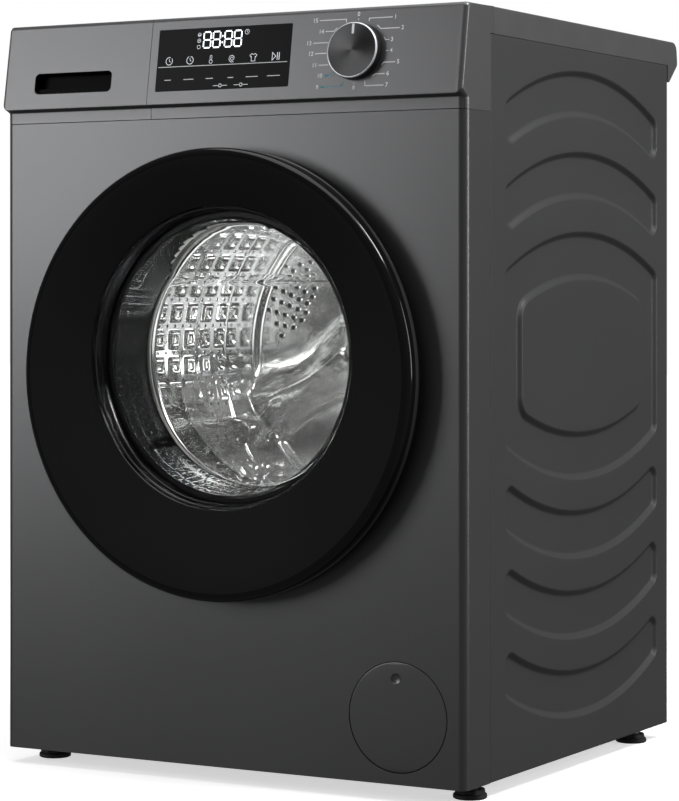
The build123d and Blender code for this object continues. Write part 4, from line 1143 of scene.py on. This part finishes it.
def drum_wall():
    """Cylindrical wall with raised, slightly dished square pads between the lifters."""
    round_steps, long_steps = 900, 116
    angles = np.linspace(0, FULL_TURN, round_steps, endpoint=False)
    ys = np.linspace(118.0, WALL_END, long_steps)
    grid_angle, grid_y = np.meshgrid(angles, ys)
    offset = from_sector_middle(grid_angle)
    across = ((offset + PAD_STEP / 2) % PAD_STEP - PAD_STEP / 2) * DRUM_R
    along = (grid_y - PAD_FIRST + PAD_ALONG / 2) % PAD_ALONG - PAD_ALONG / 2
    relief = soft_box(across, along, PAD_HALF, 4.0) * 3.4 - soft_box(across, along, PAD_HALF - 4.5, 4.5) * 1.9
    relief = relief * (np.abs(offset) < (PAD_ROWS + 0.5) * PAD_STEP)
    radius = DRUM_R - relief
    shape = Shape()
    front = [(DRUM_MOUTH + 0.4, DRUM_FRONT + 6), (DRUM_MOUTH, DRUM_FRONT + 3),
             (DRUM_MOUTH + 1.5, DRUM_FRONT + 0.8), (DRUM_MOUTH + 6, DRUM_FRONT + 0.4),
             (DRUM_R - 22, DRUM_FRONT + 0.6), (DRUM_R - 10, DRUM_FRONT + 3),
             (DRUM_R - 2.5, DRUM_FRONT + 9), (DRUM_R, DRUM_FRONT + 16)]
    loops = [[drum_point(a, y, r) for a in angles] for r, y in front]
    for row in range(long_steps):
        loops.append([drum_point(a, ys[row], r) for a, r in zip(angles, radius[row])])
    shape.skin(loops)
    outside = [(DRUM_R + 0.2, WALL_END), (DRUM_R + 0.6, DRUM_REAR - 0.6), (DRUM_R + 1.2, DRUM_REAR - 0.6),
               (DRUM_R + 1.2, DRUM_FRONT + 16)]
    shape.skin([[drum_point(a, y, r) for a in angles[::5]] for r, y in outside])
    piece("drum_wall", shape, [DRUM_STEEL], "drum", ["drum_shell"], sharp=60, weighted=False)


def back_height(x, z):
    """How far the rear wall stands forward of its floor, at x and z from the drum's axis."""
    r = np.hypot(x, z)
    height = (FLOOR_Y - RIM_Y) * rise(193, 204, r)
    for sector in range(3):
        angle = LIFTER_ANGLE + SECTOR * sector
        along = x * math.cos(angle) + z * math.sin(angle)
        side = x * math.sin(angle) - z * math.cos(angle)
        crest = 18 + 16 * np.clip((along - 125) / 80, -1, 1.2) ** 2
        upper = np.clip((side - crest) / 52, 0, 1)
        lower = np.clip((crest - side) / (2 * crest), 0, 1)
        bank = 27 * (1 - upper) ** 2.4
        face = 27 - 9 * rise(0, 0.5, lower) - 9 * rise(0.35, 1, lower)
        spoke = np.where(side > crest, bank, face) * rise(-crest - 7, -crest + 1, side)
        spoke = spoke * rise(20, 60, along) * (1 - 0.55 * rise(196, 208, r)) * (along > 0)
        height = np.maximum(height, spoke * (r < 226) * rise(228, 208, r))
    dish = 15 * rise(62, 46, r) - 6 * rise(26, 18, r)
    return np.maximum(height, dish * (r < 62))


def drum_back():
    """The drum's rear wall: flat rim, three raised spokes, holed hollows and a hub."""
    radial, round_steps = 120, 540
    angles = np.linspace(0, FULL_TURN, round_steps, endpoint=False)
    radii = np.linspace(DRUM_R - 3.0, 0.5, radial)
    grid_angle, grid_r = np.meshgrid(angles, radii)
    height = back_height(grid_r * np.cos(grid_angle), grid_r * np.sin(grid_angle))
    shape = Shape()
    loops = [[drum_point(a, WALL_END - 0.5, DRUM_R + 0.3) for a in angles],
             [drum_point(a, RIM_Y - 0.2, DRUM_R - 0.9) for a in angles]]
    for row in range(radial):
        loops.append([drum_point(a, FLOOR_Y - h, r) for a, r, h in zip(angles, grid_r[row], height[row])])
    shape.skin(loops)
    shape.fan(loops[-1])
    rim = [(DRUM_R + 0.3, WALL_END - 0.5), (DRUM_R + 1.2, DRUM_REAR - 0.5), (DRUM_R + 1.2, DRUM_REAR + 1.3),
           (36, DRUM_REAR + 1.3)]
    shape.skin([[drum_point(a, y, r) for a in angles[::3]] for r, y in rim])
    piece("drum_rear_wall", shape, [DRUM_STEEL], "drum", ["drum_back"], sharp=60, weighted=False)


def lifter_point(sector, across, along):
    """A point on a lifter: across -1 to 1, along 0 at the front to 1 at the back."""
    end = math.sin(math.pi * min(max(along, 0.0), 1.0)) ** 0.4
    tall = 46.0 * end * (0.85 + 0.15 * along)
    half = 44.0 * (0.5 + 0.5 * end) * (1.0 - 0.25 * along)
    lift = tall * max(math.cos(across * math.pi / 2), 0.0) ** 1.35
    angle = LIFTER_ANGLE + SECTOR * sector + across * half / DRUM_R
    return Vector(drum_point(angle, 122.0 + along * 268.0, DRUM_R - 0.4 - lift))


def hole(steel, dark, centre, across, along, inward, radius, stretch=1.0):
    """A perforation: a shallow drawn collar and a dark disc inside it, painted shade in place of the open
    hole.
    """
    points = []
    for i in range(12):
        angle = FULL_TURN * i / 12
        points.append(centre + across * radius * math.cos(angle) + along * radius * stretch * math.sin(angle))
    collar = [p + (p - centre) * 0.45 - inward * 0.05 for p in points]
    crown = [p + (p - centre) * 0.18 + inward * 0.55 for p in points]
    lip = [p + inward * 0.4 for p in points]
    steel.skin([[tuple(p) for p in collar], [tuple(p) for p in crown], [tuple(p) for p in lip]])
    dark.fan([tuple(p + inward * 0.38) for p in points])


def drum_holes():
    """Holes between the wall's pads, on the flanks of the lifters and in the rear wall's hollows."""
    steel = Shape()
    # dark gathers the painted shade discs inside the holes
    dark = Shape()
    y_axis = Vector((0, 1, 0))
    for sector in range(3):
        middle = LIFTER_ANGLE + SECTOR * (sector + 0.5)
        for row in range(-PAD_ROWS, PAD_ROWS + 2):
            angle = middle + (row - 0.5) * PAD_STEP
            inward = Vector((-math.cos(angle), 0, -math.sin(angle)))
            across = Vector((-math.sin(angle), 0, math.cos(angle)))
            for column in range(15):
                y = PAD_FIRST + column * PAD_ALONG / 2
                if y < 384:
                    centre = Vector(drum_point(angle, y, DRUM_R - 0.05))
                    hole(steel, dark, centre, across, y_axis, inward, 1.7)
        for side in (-1, 1):
            for row in range(5):
                for column in range(9):
                    a = side * (0.42 + row * 0.1)
                    b = 0.16 + column * 0.085 + (row % 2) * 0.03
                    centre = lifter_point(sector, a, b)
                    across = (lifter_point(sector, a + 0.02, b) - centre).normalized()
                    along = (lifter_point(sector, a, b + 0.02) - centre).normalized()
                    inward = across.cross(along).normalized()
                    if inward.dot(Vector((centre.x, 0, centre.z - DRUM_Z))) > 0:
                        inward = -inward
                    hole(steel, dark, centre, across, along, inward, 1.5, 2.2)
        # rear wall: a cluster of drawn holes in each hollow
        for row in range(-4, 5):
            for column in range(5):
                radius = 140.0 + column * 12.6 - (row % 2) * 3.0
                angle = middle + math.radians(10.0) + row * 12.8 / 160.0
                if (abs(row) > 2 and column in (0, 4)) or (abs(row) == 4 and column != 2):
                    continue
                point = drum_point(angle, FLOOR_Y, radius)
                height = float(back_height(np.array(point[0]), np.array(point[2] - DRUM_Z)))
                centre = Vector((point[0], FLOOR_Y - height - 0.1, point[2]))
                hole(steel, dark, centre, Vector((1, 0, 0)), Vector((0, 0, 1)), Vector((0, -1, 0)), 3.1)
    piece("drum_hole_collars", steel, [DRUM_STEEL], "drum", sharp=80, weighted=False)
    piece("drum_hole_shadows", dark, [HOLE_PAINTED_SHADE], "drum", sharp=80, weighted=False)


def lifters():
    """Three hollow paddles on the wall: a broad base, a rounded ridge and drooping ends."""
    shape = Shape()
    across_steps, long_steps = 28, 48
    for sector in range(3):
        loops = []
        for i in range(long_steps + 1):
            loops.append([tuple(lifter_point(sector, j / across_steps * 2 - 1, i / long_steps))
                          for j in range(across_steps + 1)])
        shape.skin(loops, closed=False)
    piece("drum_paddles", shape, [DRUM_STEEL], "drum", ["drum_lifters"], sharp=60,
          weighted=False)


# ---- gasket, feet ----------------------------------------------------------------
def gasket():
    """Rubber bellows between the front panel's opening and the tub."""
    rings = [(176.4, 84), (181, 84), (181, 79), (178.5, 76), (178.2, 70), (184.5, 62), (187, 54), (186, 47),
             (177, 40), (172, 31), (171.6, 24), (174, 21.6), (184, 21.2), (186, 20), (185, 18.4), (172, 18.2),
             (168.8, 19.5), (168.4, 24), (168.8, 32), (174, 42.5), (183, 49), (183.6, 54), (181, 60),
             (175.6, 68)]
    blended = turned(rings, 160, wrap=True)
    mesh = bpy.data.meshes.new("door_seal")
    mesh.from_pydata(blended.verts, [], blended.faces)
    clean_mesh(mesh, 50)
    seal = show("door_seal", mesh)
    seal.data.materials.append(RUBBER_GREY)
    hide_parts("door_gasket")
    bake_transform(seal)


def stretch_with_tub(node_name):
    """A hose or spring node, copied into a loose object of its own, with the node hidden."""
    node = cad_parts[node_name]
    mesh = node.data.copy()
    mesh.transform(node.matrix_world)
    thing = show(node_name + "_flexing", mesh)
    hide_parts(node_name)
    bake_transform(thing)


def foot(body, node, x, y):
    """One adjustable foot: rubber pad, hexagon nut and threaded stud."""
    def level(radius, z, sides=48, corners=0.0):
        loop = []
        for i in range(sides):
            angle = FULL_TURN * i / sides
            facet = 1.0 - corners * (0.5 - 0.5 * math.cos(8 * angle))
            loop.append((x + radius * facet * math.cos(angle), y + radius * facet * math.sin(angle), z))
        return loop

    shape = Shape()
    pad = [level(17.0, 0.0), level(18.3, 0.8), level(18.5, 2.2), level(18.3, 4.6), level(17.2, 5.6),
           level(17.0, 5.8, corners=0.06), level(16.6, 9.6, corners=0.06), level(15.6, 10.6, corners=0.06),
           level(9.5, 10.9)]
    shape.skin(pad)
    shape.fan(pad[0])
    nut = ((10.9, 9.3), (11.2, 9.8), (12.8, 9.8), (13.1, 9.2), (13.2, 5.2))
    shape.skin([level(radius, z, 6) for z, radius in nut], slot=1)
    thread = [level(5.0 if i % 2 else 4.45, 13.0 + i * 0.62, 24) for i in range(68)]
    shape.skin(thread, slot=1)
    shape.fan(thread[-1], 1)
    piece(body + "_piece", shape, [RUBBER_BLACK, ZINC], body, [node], sharp=28)


def feet():
    for end, y in (("front", 60.0), ("rear", 490.0)):
        for side_name, side in (("left", -1), ("right", 1)):
            foot("foot_" + end[0] + side_name[0], "foot_" + end + "_" + side_name, side * 272.0, y)


# ---- carried-over CAD nodes ------------------------------------------------------
NODE_FINISH = {
    SIDE_PAINT: ["base_tray", "rear_panel", "top_braces"],
    ZINC: ["rear_access_cover", "cabinet_fasteners", "tub_screws", "door_hinge_bracket", "door_hinge_pin",
           "door_hinge_leaf", "suspension_springs", "damper_cylinders", "damper_rods", "drum_shaft",
           "motor_pulley", "drum_bearings"],
    STEEL: ["heater"],
    PLASTIC_BLACK: ["control_board", "door_lock", "pump_housing", "rear_glands", "transit_plugs",
                    "door_latch_hook", "pump_filter", "pump_impeller", "inlet_valve", "motor_housing"],
    PLASTIC_WHITE: ["dispenser_box", "drawer_tray"],
    TUB_PLASTIC: ["tub_front_shell", "tub_rear_shell"],
    DOOR_EDGE: ["door_frame"],
    ALLOY: ["drum_spider", "drum_pulley"],
    IRON: ["front_counterweight", "top_counterweight"],
    RUBBER_BLACK: ["sump_hose", "dispenser_hose", "drain_hose", "drive_belt"],
    BOARD_GREEN: ["display_board"],
}


def dress_nodes():
    for material, names in NODE_FINISH.items():
        for name in names:
            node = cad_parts[name]
            node.data.materials.clear()
            node.data.materials.append(material)


# ---- stage -----------------------------------------------------------------------
def stage():
    """Pale floor that glows brighter away from the machine, its dimmer glow near the machine a painted
    shadow, and a white surround that lights it only softly.
    """
    reach = 14.0
    mesh = bpy.data.meshes.new("floor")
    mesh.from_pydata([(-reach, -reach, 0), (reach, -reach, 0), (reach, reach, 0), (-reach, reach, 0)], [],
                     [(0, 1, 2, 3)])
    floor = show("floor", mesh)
    pale = surface("pale_floor", (0.86, 0.86, 0.86), (0.88, 0.88, 0.88), (0.8, 0.9), scale=1, fine=50,
                   bump=0.0, specular=0.1)
    tree = pale.node_tree
    shader = tree.nodes["Principled BSDF"]
    set_sockets(shader, {"Emission Color": (1, 1, 1, 1)})
    where = add_node(tree, "TexCoord")
    # painted shadow: the floor's glow is dimmest near the machine and rises with distance
    distance = add_node(tree, "VectorMath", operation="LENGTH")
    brighter = add_node(tree, "MapRange", {"From Min": 0.5, "From Max": 1.5, "To Min": 0.6, "To Max": 1.05})
    join(tree, (where, "Object", distance, 0), (distance, "Value", brighter, "Value"),
         (brighter, "Result", shader, "Emission Strength"))
    floor.data.materials.append(pale)
    floor.visible_glossy = False
    floor.visible_diffuse = False
    world = bpy.data.worlds.new("studio")
    bpy.context.scene.world = world
    world.use_nodes = True
    tree = world.node_tree
    tree.nodes.clear()
    out = add_node(tree, "OutputWorld")
    fill = add_node(tree, "Background", {"Color": (1, 1, 1, 1), "Strength": 0.12})
    seen = add_node(tree, "Background", {"Color": (1, 1, 1, 1), "Strength": 1.0})
    ray = add_node(tree, "LightPath")
    mix = add_node(tree, "MixShader")
    join(tree, (ray, "Is Camera Ray", mix, "Fac"), (fill, "Background", mix, 1),
         (seen, "Background", mix, 2), (mix, "Shader", out, "Surface"))


def area_light(name, location, target, size, power):
    lamp = bpy.data.lights.new(name, "AREA")
    lamp.shape = "RECTANGLE"
    lamp.size, lamp.size_y = size
    lamp.energy = power
    thing = show(name, lamp)
    thing.location = location
    aim = Vector(target) - Vector(location)
    thing.rotation_euler = aim.to_track_quat("-Z", "Y").to_euler()
    return thing


def keep_off(lamp, pieces):
    """Shades a light away from the named pieces, as a flag on a stand would."""
    flagged = bpy.data.collections.new(lamp.name + "_flag")
    for thing in pieces:
        flagged.objects.link(thing)
    lamp.light_linking.receiver_collection = flagged
    for entry in flagged.collection_objects:
        entry.light_linking.link_state = "EXCLUDE"


def lights():
    """Soft lamps above, right and left, the left one flagged off the porthole, and one in the drum."""
    area_light("overhead", (0.2, -0.4, 3.6), (0, 0, 0.4), (3.5, 3.5), 80)
    area_light("right_high", (2.3, 0.2, 3.4), (0.3, 0.0, 0.45), (1.1, 1.1), 105)
    area_light("right_soft", (3.6, 1.6, 1.3), (0.3, 0.0, 0.45), (1.2, 2.0), 50)
    area_light("drum_light", place(45, 118, 560), place(-90, 330, 420), (0.12, 0.06), 0.75)
    key = area_light("key_left", (-2.28, -2.87, 1.3), (-0.3, -0.27, 0.8), (1.4, 1.9), 45)
    names = ("drum_", "door_", "gasket", "glass")
    keep_off(key, [thing for thing in bpy.context.scene.objects
                   if thing.type == "MESH" and thing.name.startswith(names)])


def camera():
    data = bpy.data.cameras.new("camera")
    data.sensor_width = 36.0
    data.lens = 124.7
    data.shift_y = -0.1353
    thing = show("camera", data)
    thing.location = (1.6212, -2.8711, 0.5434)
    thing.rotation_euler = (math.pi / 2, 0, math.radians(29.57))
    bpy.context.scene.camera = thing
    bpy.context.scene.view_settings.view_transform = "Standard"


# ---- make everything ---------------------------------------------------------------
camera()
stage()
dress_nodes()
front_panel()
filter_flap()
side_panel(1, "side_right", "right_side_panel")
side_panel(-1, "side_left", "left_side_panel")
worktop()
control_fascia()
drawer_front()
display()
dial_scale()
dial()
door_ring()
door_glass()
drum_wall()
drum_back()
lifters()
drum_holes()
gasket()
stretch_with_tub("sump_hose")
stretch_with_tub("dispenser_hose")
stretch_with_tub("suspension_springs")
feet()
lights()
